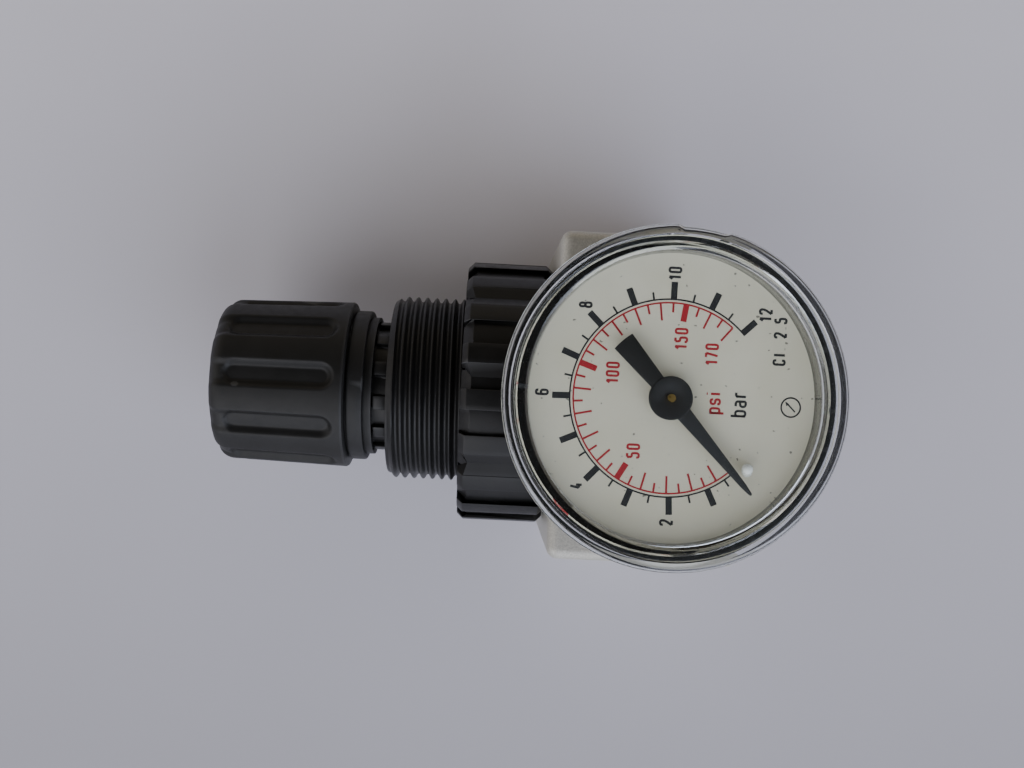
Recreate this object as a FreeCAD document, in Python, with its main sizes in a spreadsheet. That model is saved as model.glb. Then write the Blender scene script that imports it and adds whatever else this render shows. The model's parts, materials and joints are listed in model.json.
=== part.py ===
import FreeCAD
import Part

import math
import os

import Sketcher

# Air pressure regulator with a panel thread, a locking knob and a 40 mm pressure gauge.
#
# The part lies on its flat back. The origin is where the knob's axis meets the panel seat (the top
# face of the union ring). The knob points along -X, the gauge faces +Z, air flows in at -Y and out
# at +Y. Regulator pieces are drawn upright, with their axis on Z and the knob up, then laid down.
# Gauge pieces are drawn face up round their own axis, with 12 o'clock on +Y, then turned and moved.

doc = FreeCAD.newDocument("air_pressure_regulator")
sheet = doc.addObject("Spreadsheet::Sheet", "Sizes")
pieces = []
row_count = [0]


class Size:
    """A length in millimetres, with the sheet expression that gives it."""

    def __init__(self, number, text):
        self.number = number
        self.text = text

    def combine(self, other, sign, result):
        other_text = other.text if isinstance(other, Size) else repr(other)
        return Size(result, "(" + self.text + " " + sign + " " + other_text + ")")

    def __add__(self, other):
        return self.combine(other, "+", self.number + plain(other))

    def __sub__(self, other):
        return self.combine(other, "-", self.number - plain(other))

    def __mul__(self, other):
        return self.combine(other, "*", self.number * plain(other))

    def __truediv__(self, other):
        return self.combine(other, "/", self.number / plain(other))

    def __neg__(self):
        return Size(-self.number, "(0 - " + self.text + ")")

    def __radd__(self, other):
        return self + other

    def __rsub__(self, other):
        return -self + other

    def __rmul__(self, other):
        return self * other


def plain(value):
    """The plain number of a size."""
    return value.number if isinstance(value, Size) else float(value)


def size(alias, number):
    """Write one driving dimension into the sheet."""
    row_count[0] += 1
    row = str(row_count[0])
    sheet.set("A" + row, alias.replace("_", " "))
    sheet.set("B" + row, repr(number))
    sheet.setAlias("B" + row, alias)
    return Size(number, "Sizes." + alias)


# ---------------------------------------------------------------- driving dimensions

# regulator body, upright heights counted from the panel seat
port_axis = size("port_axis", 25.7)
shoulder_z = size("shoulder_z", -13.8)
base_z = size("base_z", -41.0)
half_width = size("half_width", 24.3)
front_depth = size("front_depth", 19.5)
back_depth = size("back_depth", 21.3)
corner_round = size("corner_round", 1.6)
collar_radius = size("collar_radius", 18.45)
collar_z = size("collar_z", -6.2)
collar_chamfer = size("collar_chamfer", 0.6)
chamber_radius = size("chamber_radius", 15.5)
chamber_z = size("chamber_z", -9.5)
stem_bore = size("stem_bore", 1.52)
outlet_radius = size("outlet_radius", 4.5)
outlet_z = size("outlet_z", -17.0)
seat_z = size("seat_z", -27.0)
seat_radius = size("seat_radius", 6.0)
inlet_z = size("inlet_z", -29.5)
inlet_radius = size("inlet_radius", 7.5)

# ports: G1/4 at the sides, G1/8 for the gauge and at the back
port_minor = size("port_minor", 5.725)
port_root = size("port_root", 6.155)
port_groove = size("port_groove", 0.44)
port_chamfer = size("port_chamfer", 0.9)
port_pitch = size("port_pitch", 1.337)
port_depth = size("port_depth", 12.3)
small_bore = size("small_bore", 4.28)
small_depth = size("small_depth", 9.5)
small_passage = size("small_passage", 1.25)
side_passage = size("side_passage", 2.2)
side_passage_rise = size("side_passage_rise", 3.2)
side_passage_drop = size("side_passage_drop", 4.9)
chamber_wall = size("chamber_wall", 3.0)
aspirator_radius = size("aspirator_radius", 0.75)

# bonnet and its M30 x 1.5 panel thread
thread_major = size("thread_major", 15.0)
thread_minor = size("thread_minor", 14.08)
thread_pitch = size("thread_pitch", 1.5)
thread_land = size("thread_land", 0.5)
thread_top = size("thread_top", 11.5)
flange_radius = size("flange_radius", 17.9)
flange_low = size("flange_low", -5.0)
flange_high = size("flange_high", -2.0)
bonnet_cavity = size("bonnet_cavity", 12.0)
bonnet_bore = size("bonnet_bore", 8.2)
neck_radius = size("neck_radius", 10.5)
neck_root = size("neck_root", 9.7)
spline_top = size("spline_top", 13.8)
catch_low = size("catch_low", 15.5)
catch_top = size("catch_top", 17.0)
catch_radius = size("catch_radius", 10.4)
bonnet_top = size("bonnet_top", 29.5)
bonnet_ceiling = size("bonnet_ceiling", 27.0)
screw_bore = size("screw_bore", 4.15)
spline_width = size("spline_width", 3.2)
guide_root = size("guide_root", 7.0)
guide_radius = size("guide_radius", 9.0)
guide_width = size("guide_width", 2.5)

# union ring
ring_radius = size("ring_radius", 21.0)
ring_valley = size("ring_valley", 20.2)
ring_length = size("ring_length", 13.5)
ring_bore = size("ring_bore", 18.5)
ring_mouth = size("ring_mouth", 15.15)
rib_angle = size("rib_angle", 8.5)
rib_root = size("rib_root", 19.1)
rib_chamfer = size("rib_chamfer", 0.9)
valley_taper = size("valley_taper", 1.5)

# adjuster
screw_radius = size("screw_radius", 4.0)
screw_core = size("screw_core", 3.45)
screw_low = size("screw_low", 12.0)
screw_flange_low = size("screw_flange_low", 25.2)
screw_flange_high = size("screw_flange_high", 26.5)
screw_flange_radius = size("screw_flange_radius", 7.0)
hex_width = size("hex_width", 7.0)
hex_low = size("hex_low", 29.7)
hex_high = size("hex_high", 35.8)
nut_low = size("nut_low", 16.5)
nut_flange_low = size("nut_flange_low", 21.5)
nut_high = size("nut_high", 24.0)
nut_hub = size("nut_hub", 5.6)
nut_flange = size("nut_flange", 7.9)
nut_bore = size("nut_bore", 4.05)
knob_low = size("knob_low", 18.1)
knob_high = size("knob_high", 39.0)
knob_skirt = size("knob_skirt", 13.45)
knob_end = size("knob_end", 12.97)
knob_bore = size("knob_bore", 11.2)
knob_ceiling = size("knob_ceiling", 36.5)
knob_boss = size("knob_boss", 6.5)
knob_boss_low = size("knob_boss_low", 31.9)
flute_radius = size("flute_radius", 3.5)
flute_centre = size("flute_centre", 15.75)
flute_low = size("flute_low", 19.4)
lock_low = size("lock_low", 14.0)
lock_brim_low = size("lock_brim_low", 15.2)
lock_high = size("lock_high", 17.8)
lock_radius = size("lock_radius", 12.15)
lock_bore = size("lock_bore", 10.65)
lock_skirt = size("lock_skirt", 11.17)
lock_skirt_rise = size("lock_skirt_rise", 2.6)
lock_chamfer = size("lock_chamfer", 0.3)
lock_tooth_radius = size("lock_tooth_radius", 9.8)
lock_tooth_width = size("lock_tooth_width", 3.0)
lock_tooth_high = size("lock_tooth_high", 15.4)

# diaphragm, valve and springs
rubber_low = size("rubber_low", -5.6)
rubber_high = size("rubber_high", -4.4)
plate_high = size("plate_high", -2.9)
plate_radius = size("plate_radius", 11.0)
insert_radius = size("insert_radius", 3.2)
insert_low = size("insert_low", -6.8)
spring_radius = size("spring_radius", 7.0)
spring_wire = size("spring_wire", 0.8)
seal_high = size("seal_high", -30.0)
seal_low = size("seal_low", -31.5)
head_low = size("head_low", -33.5)
head_radius = size("head_radius", 5.4)
stem_radius = size("stem_radius", 1.45)
tail_radius = size("tail_radius", 2.5)
tail_low = size("tail_low", -40.0)
plug_high = size("plug_high", -36.5)
plug_low = size("plug_low", -44.0)
plug_radius = size("plug_radius", 7.45)
plug_head = size("plug_head", 10.0)
seat_throat = size("seat_throat", 3.0)
seat_flare = size("seat_flare", 3.7)
seat_land = size("seat_land", 0.7)
seat_gland = size("seat_gland", 1.05)
seat_wire = size("seat_wire", 0.5)
head_rim = size("head_rim", 0.5)
plug_bore = size("plug_bore", 2.55)
plug_sleeve = size("plug_sleeve", 3.6)
plug_well = size("plug_well", 5.6)
plug_floor = size("plug_floor", -41.5)
plug_gland_high = size("plug_gland_high", -37.8)
plug_gland_low = size("plug_gland_low", -39.0)
plug_gland = size("plug_gland", 1.1)
plug_wire = size("plug_wire", 0.52)
plug_slot = size("plug_slot", 2.0)
rear_key = size("rear_key", 5.0)
thread_slack = size("thread_slack", 0.03)
valve_spring_radius = size("valve_spring_radius", 4.6)
valve_spring_wire = size("valve_spring_wire", 0.35)

# gauge, heights counted from the regulator's axis towards the dial
shank_low = size("shank_low", 20.5)
shank_width = size("shank_width", 14.0)
case_back = size("case_back", 28.5)
case_floor = size("case_floor", 30.3)
case_radius = size("case_radius", 19.4)
case_bore = size("case_bore", 18.0)
case_chamfer = size("case_chamfer", 1.0)
rim_outer = size("rim_outer", 19.0)
rim_inner = size("rim_inner", 18.4)
dial_ledge = size("dial_ledge", 17.0)
case_screw_offset = size("case_screw_offset", 9.4)
case_screw_hole = size("case_screw_hole", 1.02)
case_screw_radius = size("case_screw_radius", 1.0)
case_screw_head = size("case_screw_head", 1.9)
case_screw_head_height = size("case_screw_head_height", 1.1)
case_screw_length = size("case_screw_length", 6.0)
stem_bore_radius = size("stem_bore_radius", 1.0)
case_shoulder = size("case_shoulder", 48.3)
case_rim = size("case_rim", 51.5)
socket_neck = size("socket_neck", 5.0)
window_radius = size("window_radius", 20.05)
window_front = size("window_front", 54.4)
window_back = size("window_back", 52.9)
window_round = size("window_round", 0.75)
skirt_outer = size("skirt_outer", 19.1)
skirt_inner_wall = size("skirt_inner_wall", 18.25)
skirt_inner = size("skirt_inner", 17.5)
dial_face = size("dial_face", 48.3)
dial_back = size("dial_back", 47.7)
dial_radius = size("dial_radius", 17.75)
block_high = size("block_high", 36.6)
tube_radius = size("tube_radius", 14.5)
tube_width = size("tube_width", 2.0)
tube_low = size("tube_low", 32.5)
tube_high = size("tube_high", 38.9)
tube_wall = size("tube_wall", 0.35)
plate_thick = size("plate_thick", 1.0)
front_plate_z = size("front_plate_z", 43.4)
gear_centres = size("gear_centres", 10.0)
gear_module = size("gear_module", 0.2)
blade_low = size("blade_low", 40.3)
blade_high = size("blade_high", 41.1)
link_low = size("link_low", 41.2)
link_high = size("link_high", 41.8)
link_arm = size("link_arm", 4.5)
link_half = size("link_half", 1.15)
link_pin_radius = size("link_pin_radius", 0.45)
link_eye = size("link_eye", 0.47)
link_slack_eye = size("link_slack_eye", 0.65)
pivot_hole = size("pivot_hole", 0.63)
pivot_radius = size("pivot_radius", 0.6)
sector_hub = size("sector_hub", 1.7)
pillar_radius = size("pillar_radius", 1.1)
plate_screw_radius = size("plate_screw_radius", 1.0)
plate_screw_height = size("plate_screw_height", 0.8)
tip_grip = size("tip_grip", 1.4)
tip_pin_inset = size("tip_pin_inset", 0.3)
arbor_radius = size("arbor_radius", 0.475)
pointer_low = size("pointer_low", 49.6)
pointer_high = size("pointer_high", 50.1)
pointer_hub = size("pointer_hub", 2.6)
pointer_tip = size("pointer_tip", 14.9)
pointer_tail = size("pointer_tail", 8.85)
pin_circle = size("pin_circle", 12.4)
pin_radius = size("pin_radius", 0.65)

doc.recompute()

# counts and directions, in degrees where they are angles
PORT_THREADS = 8
PANEL_THREADS = 7
SCREW_THREADS = 12
SPLINES = 12
RING_RIBS = 19
RIB_PHASE = 0.84
KNOB_FLUTES = 10
FLUTE_PHASE = 22.5
SPRING_TURNS = 7.0
VALVE_SPRING_TURNS = 4.0
TUBE_START = -15.0
TUBE_SWEEP = 255.0
TIP_END = -32.0
TIP_PIN_ANGLE = -29.0
POINTER_REST = 222.5
PIN_ANGLE = 229.65
SECTOR_TEETH = 90
PINION_TEETH = 10
SECTOR_GAPS = 11
SECTOR_FIRST_GAP = 54.0
LINK_REST = -105.0
HAIRSPRING_TURNS = 5.0

# how far a cutting outline runs past the face that it opens
CLEAR = 1.0

# ---------------------------------------------------------------- drawing helpers


def matrix_of(x_goes, y_goes, z_goes):
    """A placement that turns the drawing's X, Y and Z towards three directions."""
    rows = zip(x_goes, y_goes, z_goes)
    numbers = []
    for row in rows:
        numbers += [float(value) for value in row] + [0.0]
    return FreeCAD.Placement(FreeCAD.Matrix(*numbers, 0, 0, 0, 1))


LAID_DOWN = matrix_of((0, 1, 0), (0, 0, -1), (-1, 0, 0))
GAUGE_TURN = matrix_of((0, 1, 0), (-1, 0, 0), (0, 0, 1))
BACKWARD = matrix_of((0, 1, 0), (1, 0, 0), (0, 0, -1))


def turned(degrees):
    """A turn about the drawing's own Z axis."""
    return FreeCAD.Placement(FreeCAD.Vector(), FreeCAD.Rotation(FreeCAD.Vector(0, 0, 1), degrees))


def body(label, place=LAID_DOWN, turn=0.0, at_ports=False):
    """An empty PartDesign body with its own label and placement."""
    made = doc.addObject("PartDesign::Body", label)
    made.Label = label
    made.Placement = place.multiply(turned(turn))
    if at_ports:
        made.setExpression("Placement.Base.x", port_axis.text)
    pieces.append(made)
    return made


def gauge_body(label, turn=0.0):
    return body(label, GAUGE_TURN, turn, at_ports=True)


def empty_sketch(owner, plane, shift):
    """A sketch on one of the body's origin planes, moved by shift in the plane's own axes."""
    sketch = owner.newObject("Sketcher::SketchObject", owner.Name + "_sketch")
    planes = [feature for feature in owner.Origin.OriginFeatures if feature.Role == plane]
    sketch.AttachmentSupport = (planes[0], [""])
    sketch.MapMode = "FlatFace"
    offset = [plain(value) for value in shift]
    sketch.AttachmentOffset = FreeCAD.Placement(FreeCAD.Vector(*offset), FreeCAD.Rotation())
    for axis, value in zip("xyz", shift):
        if isinstance(value, Size):
            sketch.setExpression("AttachmentOffset.Base." + axis, value.text)
    return sketch


def bind(sketch, kind, geometry, point, value):
    """Fix one coordinate of a point, driven by the sheet where the value comes from it."""
    number = sketch.addConstraint(Sketcher.Constraint(kind, -1, 1, geometry, point, plain(value)))
    if isinstance(value, Size):
        sketch.setExpression("Constraints[" + str(number) + "]", value.text)


def outline(owner, plane, points, shift=(0, 0, 0)):
    """A closed polygon whose corners are given from the sketch's origin."""
    sketch = empty_sketch(owner, plane, shift)
    corners = [FreeCAD.Vector(plain(x), plain(y), 0) for x, y in points]
    following = corners[1:] + corners[:1]
    sketch.addGeometry([Part.LineSegment(a, b) for a, b in zip(corners, following)], False)
    count = len(corners)
    joins = [Sketcher.Constraint("Coincident", i, 2, (i + 1) % count, 1) for i in range(count)]
    sketch.addConstraint(joins)
    for index, (x, y) in enumerate(points):
        bind(sketch, "DistanceX", index, 1, x)
        bind(sketch, "DistanceY", index, 1, y)
    return sketch


def circles(owner, plane, radius, centres=((0, 0),), shift=(0, 0, 0)):
    """Circles of one radius at given centres."""
    sketch = empty_sketch(owner, plane, shift)
    for index, (x, y) in enumerate(centres):
        centre = FreeCAD.Vector(plain(x), plain(y), 0)
        sketch.addGeometry(Part.Circle(centre, FreeCAD.Vector(0, 0, 1), plain(radius)), False)
        bind(sketch, "DistanceX", index, 3, x)
        bind(sketch, "DistanceY", index, 3, y)
        number = sketch.addConstraint(Sketcher.Constraint("Radius", index, plain(radius)))
        if isinstance(radius, Size):
            sketch.setExpression("Constraints[" + str(number) + "]", radius.text)
    return sketch


def drive(feature, name, value):
    """Set a feature's number and bind it to the sheet."""
    setattr(feature, name, plain(value))
    if isinstance(value, Size):
        feature.setExpression(name, value.text)


def feature_of(owner, kind, sketch):
    made = owner.newObject("PartDesign::" + kind, owner.Name + "_" + kind.lower())
    made.Profile = sketch
    sketch.Visibility = False
    return made


def revolve(owner, points, angle=360.0, kind="Revolution", plane="XZ_Plane", axis="V_Axis", shift=(0, 0, 0),
            middle=False):
    """Turn a half section about a sketch axis, to add or to cut."""
    sketch = outline(owner, plane, points, shift)
    made = feature_of(owner, kind, sketch)
    made.ReferenceAxis = (sketch, [axis])
    drive(made, "Angle", angle)
    made.Midplane = middle
    return made


def pad(owner, sketch, length, back=False):
    made = feature_of(owner, "Pad", sketch)
    drive(made, "Length", length)
    made.Reversed = back
    return made


def pocket(owner, sketch, length, upward=False):
    """Cut down from the sketch, or up when upward is set."""
    made = feature_of(owner, "Pocket", sketch)
    drive(made, "Length", length)
    made.Reversed = upward
    return made


def ring_pattern(owner, feature, count, angle=360.0):
    """Repeat a feature round the body's Z axis."""
    axes = [item for item in owner.Origin.OriginFeatures if item.Role == "Z_Axis"]
    made = owner.newObject("PartDesign::PolarPattern", owner.Name + "_pattern")
    made.Originals = [feature]
    made.Axis = (axes[0], [""])
    made.Angle = angle
    made.Occurrences = count
    owner.Tip = made
    return made


def rounded(owner, radius, picks):
    """Round the edges of the body so far that the test accepts."""
    doc.recompute()
    base = owner.Tip
    names = ["Edge" + str(i + 1) for i, edge in enumerate(base.Shape.Edges) if picks(edge)]
    made = owner.newObject("PartDesign::Fillet", owner.Name + "_fillet")
    made.Base = (base, names)
    drive(made, "Radius", radius)
    return made


def rectangle(low_x, high_x, low_y, high_y):
    return [(low_x, low_y), (high_x, low_y), (high_x, high_y), (low_x, high_y)]


def tube_section(inner, outer, low, high):
    """Half section of a plain ring or disc."""
    return rectangle(inner, outer, low, high)


def hexagon(across_flats):
    corner = across_flats / math.sqrt(3)
    angles = [math.radians(60 * k) for k in range(6)]
    return [(corner * round(math.cos(a), 9), corner * round(math.sin(a), 9)) for a in angles]


def on_circle(radius, degrees):
    """A point at a radius and a direction."""
    angle = math.radians(degrees)
    return radius * round(math.cos(angle), 9), radius * round(math.sin(angle), 9)


def turned_point(point, degrees):
    """A point turned about the origin."""
    angle = math.radians(degrees)
    x, y = point
    return x * math.cos(angle) - y * math.sin(angle), x * math.sin(angle) + y * math.cos(angle)


def ring_threads(start, pitch, count, crest, root):
    """Ring-shaped thread crests, each a short cylinder with a flank on both sides."""
    points = []
    for turn in range(count):
        low = start + pitch * turn
        points.append((root, low))
        points.append((crest, low + pitch * 0.33))
        points.append((crest, low + pitch * 0.6))
        points.append((root, low + pitch * 0.93))
    return points


def coil(label, radius, wire, low, high, turns):
    """A round-wire compression spring that just fills the height from low to high."""
    made = body(label)
    sketch = circles(made, "XZ_Plane", wire, ((radius, low + wire),))
    helix = made.newObject("PartDesign::AdditiveHelix", label + "_helix")
    helix.Profile = sketch
    helix.ReferenceAxis = (sketch, ["V_Axis"])
    helix.Mode = "height-turns-angle"
    drive(helix, "Height", high - low - wire * 2)
    helix.Turns = turns
    return made


# ---------------------------------------------------------------- regulator body and union


def side_port(owner, side):
    """A G1/4 port bored in from one side, with its thread drawn as narrow rings and a countersunk mouth."""
    floor = half_width - port_depth
    wall_end = half_width - port_chamfer
    points = [(floor, 0), (floor, port_minor)]
    for turn in range(PORT_THREADS):
        low = floor + port_pitch * (turn + 0.6)
        points += [(low, port_minor), (low + port_groove / 2, port_root), (low + port_groove, port_minor)]
    points += [(wall_end, port_minor), (half_width, port_minor + port_chamfer),
               (half_width + CLEAR, port_minor + port_chamfer), (half_width + CLEAR, 0)]
    points = [(x * side, y) for x, y in points]
    revolve(owner, points, 360.0, "Groove", "XZ_Plane", "H_Axis", (0, -port_axis, 0))


def make_body_casting():
    """Zinc block with a threaded collar, two chambers and four ports."""
    casting = body("body_casting")
    footprint = rectangle(-half_width, half_width, -front_depth, back_depth)
    pad(casting, outline(casting, "XY_Plane", footprint, (0, 0, base_z)), shoulder_z - base_z)

    def block_edge(edge):
        box = edge.BoundBox
        upright = box.XLength < 0.01 and box.YLength < 0.01
        top = box.ZMin > plain(shoulder_z) - 0.01
        return upright or top

    rounded(casting, corner_round, block_edge)
    collar = [(0, shoulder_z - CLEAR), (collar_radius, shoulder_z - CLEAR),
              (collar_radius, collar_z - collar_chamfer), (collar_radius - collar_chamfer, collar_z),
              (0, collar_z)]
    revolve(casting, collar)
    bores = [(0, collar_z + CLEAR), (chamber_radius, collar_z + CLEAR), (chamber_radius, chamber_z),
             (stem_bore, chamber_z), (stem_bore, outlet_z), (outlet_radius, outlet_z),
             (outlet_radius, seat_z), (seat_radius, seat_z), (seat_radius, inlet_z),
             (inlet_radius, inlet_z), (inlet_radius, base_z - CLEAR), (0, base_z - CLEAR)]
    revolve(casting, bores, 360.0, "Groove")
    side_port(casting, -1)
    side_port(casting, 1)
    for side, depth in ((-1, front_depth), (1, back_depth)):
        port = rectangle((depth - small_depth) * side, (depth + CLEAR) * side, 0, small_bore)
        passage = rectangle(chamber_wall * side, (depth - small_depth + CLEAR) * side, 0, small_passage)
        for hole in (port, passage):
            revolve(casting, hole, 360.0, "Groove", "YZ_Plane", "H_Axis", (0, -port_axis, 0))
    wall = half_width - port_depth
    inlet = rectangle(-wall - CLEAR, -inlet_radius + 2 * CLEAR, 0, side_passage)
    revolve(casting, inlet, 360.0, "Groove", "XZ_Plane", "H_Axis", (0, -port_axis - side_passage_drop, 0))
    outlet = rectangle(outlet_radius - CLEAR, wall + CLEAR, 0, side_passage)
    revolve(casting, outlet, 360.0, "Groove", "XZ_Plane", "H_Axis", (0, -port_axis + side_passage_rise, 0))
    aspirator = circles(casting, "XY_Plane", aspirator_radius, ((chamber_wall, 0),), (0, 0, chamber_z))
    pocket(casting, aspirator, chamber_z - outlet_z)


def make_union_ring():
    """Ribbed ring that clamps the bonnet and the diaphragm onto the body."""
    ring = body("union_ring", turn=RIB_PHASE)
    section = [(ring_bore, -ring_length), (ring_valley - valley_taper, -ring_length),
               (ring_valley, -ring_length + valley_taper), (ring_valley, -valley_taper),
               (ring_valley - valley_taper, 0), (ring_mouth, 0), (ring_mouth, flange_high),
               (ring_bore, flange_high)]
    revolve(ring, section)
    rib = [(rib_root, -ring_length), (ring_radius - rib_chamfer, -ring_length),
           (ring_radius, -ring_length + rib_chamfer), (ring_radius, -rib_chamfer),
           (ring_radius - rib_chamfer, 0), (rib_root, 0)]
    first_rib = revolve(ring, rib, rib_angle, middle=True)
    ring_pattern(ring, first_rib, RING_RIBS)


def make_bonnet():
    """Bonnet with the panel thread, the splined neck and the spring tube inside the knob."""
    bonnet = body("bonnet")
    outside = [(flange_radius, flange_low), (flange_radius, flange_high), (thread_minor, flange_high),
               (thread_minor, 0), (thread_major, 0), (thread_major, thread_land),
               (thread_minor, thread_land + thread_pitch * 0.33)]
    first_low = thread_land + thread_pitch * 0.4
    outside += ring_threads(first_low, thread_pitch, PANEL_THREADS, thread_major, thread_minor)
    outside += [(thread_minor, thread_top), (neck_radius, thread_top), (neck_radius, spline_top),
                (neck_root, spline_top), (neck_root, catch_low), (catch_radius, catch_low),
                (catch_radius - 0.3, catch_top), (neck_root, catch_top), (neck_root, bonnet_top - 0.8),
                (neck_root - 0.8, bonnet_top)]
    inside = [(screw_bore, bonnet_top), (screw_bore, bonnet_ceiling), (bonnet_bore, bonnet_ceiling),
              (bonnet_bore, 4.0), (bonnet_cavity, 0.5), (bonnet_cavity, flange_low)]
    revolve(bonnet, outside + inside)
    groove = rectangle(neck_root, neck_radius + 1, -spline_width / 2, spline_width / 2)
    cut = pocket(bonnet, outline(bonnet, "XY_Plane", groove, (0, 0, spline_top)), spline_top - thread_top)
    ring_pattern(bonnet, cut, SPLINES)
    for side in (-1, 1):
        slot = rectangle(side * guide_root, side * guide_radius, -guide_width / 2, guide_width / 2)
        sketch = outline(bonnet, "XY_Plane", slot, (0, 0, bonnet_ceiling - 1.5))
        pocket(bonnet, sketch, bonnet_ceiling - 1.5 - 2.0)


def make_valve():
    """Seat, poppet and plug at the lower end of the body."""
    seat = body("valve_seat")
    groove_low = inlet_z + seat_land
    groove_high = seat_z - seat_land
    groove_root = seat_radius - seat_gland
    section = [(seat_throat, seat_z), (seat_radius, seat_z), (seat_radius, groove_high),
               (groove_root, groove_high), (groove_root, groove_low), (seat_radius, groove_low),
               (seat_radius, inlet_z), (seat_flare, inlet_z), (seat_throat + 0.2, seal_high),
               (seat_throat, seal_high)]
    revolve(seat, section)
    seat_ring = body("valve_seat_o_ring")
    ring_feature(seat_ring, seat_radius - seat_gland / 2, seat_wire, (seat_z + inlet_z) / 2)

    poppet = body("poppet")
    rim_high = seal_high - 0.7
    rim_inner = head_radius - head_rim
    section = [(0, tail_low), (tail_radius, tail_low), (tail_radius, head_low), (head_radius, head_low),
               (head_radius, rim_high), (rim_inner, rim_high), (rim_inner, seal_low),
               (stem_radius, seal_low), (stem_radius, insert_low - 0.02), (0, insert_low - 0.02)]
    revolve(poppet, section)
    seal = body("poppet_seal")
    revolve(seal, tube_section(stem_radius + 0.02, rim_inner - 0.05, seal_low, seal_high))
    coil("poppet_spring", valve_spring_radius, valve_spring_wire, tail_low, head_low, VALVE_SPRING_TURNS)

    plug = body("bottom_plug")
    gland_root = plug_radius - plug_gland
    section = [(plug_bore, plug_high), (plug_sleeve, plug_high), (plug_sleeve, tail_low),
               (plug_well, tail_low), (plug_well, plug_high), (plug_radius, plug_high),
               (plug_radius, plug_gland_high), (gland_root, plug_gland_high), (gland_root, plug_gland_low),
               (plug_radius, plug_gland_low), (plug_radius, base_z), (plug_head, base_z),
               (plug_head, plug_low + collar_chamfer), (plug_head - collar_chamfer, plug_low), (0, plug_low),
               (0, plug_floor), (plug_bore, plug_floor)]
    revolve(plug, section)
    slot = rectangle(-plug_head - CLEAR, plug_head + CLEAR, -plug_slot / 2, plug_slot / 2)
    pocket(plug, outline(plug, "XY_Plane", slot, (0, 0, plug_low)), 1.2, upward=True)
    plug_ring = body("bottom_plug_o_ring")
    ring_feature(plug_ring, plug_radius - 0.57, plug_wire, (plug_gland_high + plug_gland_low) / 2)

    back_plug = body("rear_port_plug", BACKWARD, at_ports=True)
    low = back_depth - small_depth + 1
    high = back_depth - 0.8
    revolve(back_plug, tube_section(0, small_bore - thread_slack, low, high))
    pocket(back_plug, outline(back_plug, "XY_Plane", hexagon(rear_key), (0, 0, high)), 4.0)


def ring_feature(owner, centre_radius, wire, height):
    """An O-ring: a round section turned about the axis."""
    sketch = circles(owner, "XZ_Plane", wire, ((centre_radius, height),))
    made = feature_of(owner, "Revolution", sketch)
    made.ReferenceAxis = (sketch, ["V_Axis"])
    made.Angle = 360.0


def make_diaphragm():
    """Rolling rubber diaphragm, its spring plate and the brass relief insert."""
    rubber = body("diaphragm")
    section = [(flange_radius, flange_low), (flange_radius, collar_z), (15.2, collar_z), (14.6, -7.6),
               (12.6, -7.6), (11.4, rubber_low), (insert_radius, rubber_low), (insert_radius, rubber_high),
               (11.5, rubber_high), (12.8, -6.9), (14.2, -6.9), (14.9, flange_low)]
    revolve(rubber, section)
    plate = body("diaphragm_plate")
    section = [(insert_radius, rubber_high), (plate_radius, rubber_high), (plate_radius, plate_high),
               (5.9, plate_high), (5.9, plate_high + 1), (insert_radius, plate_high + 1)]
    revolve(plate, section)
    insert = body("relief_insert")
    section = [(0.8, insert_low), (5.0, insert_low), (5.0, rubber_low), (insert_radius, rubber_low),
               (insert_radius, plate_high + 1), (4.2, plate_high + 1), (3.8, plate_high + 1.7),
               (0.8, plate_high + 1.7)]
    revolve(insert, section)
    coil("main_spring", spring_radius, spring_wire, plate_high, nut_flange_low, SPRING_TURNS)


# ---------------------------------------------------------------- adjuster and knob


def make_adjuster():
    """Left-hand adjusting screw with its washer, and the nut that it drives along the bonnet."""
    screw = body("adjusting_screw", turn=FLUTE_PHASE)
    section = [(0, screw_low), (screw_core, screw_low)]
    section += ring_threads(screw_low + 0.2, 1.0, SCREW_THREADS, screw_radius, screw_core)
    section += [(screw_core, screw_flange_low), (screw_flange_radius, screw_flange_low),
                (screw_flange_radius, screw_flange_high), (screw_bore - 0.08, screw_flange_high),
                (screw_bore - 0.08, hex_low), (0, hex_low)]
    revolve(screw, section)
    pad(screw, outline(screw, "XY_Plane", hexagon(hex_width), (0, 0, hex_low)), hex_high - hex_low)
    washer = body("thrust_washer")
    washer_radius = screw_flange_radius + 0.5
    revolve(washer, tube_section(screw_bore + 0.05, washer_radius, screw_flange_high, bonnet_ceiling))
    nut = body("spring_nut")
    section = [(nut_bore, nut_low), (nut_hub, nut_low), (nut_hub, nut_flange_low),
               (nut_flange, nut_flange_low), (nut_flange, nut_high), (nut_bore, nut_high)]
    revolve(nut, section)
    ear_half = guide_width / 2 - 0.06
    for side in (-1, 1):
        ear = rectangle(side * guide_root, side * (guide_radius - 0.1), -ear_half, ear_half)
        pad(nut, outline(nut, "XY_Plane", ear, (0, 0, nut_flange_low)), nut_high - nut_flange_low)


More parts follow.
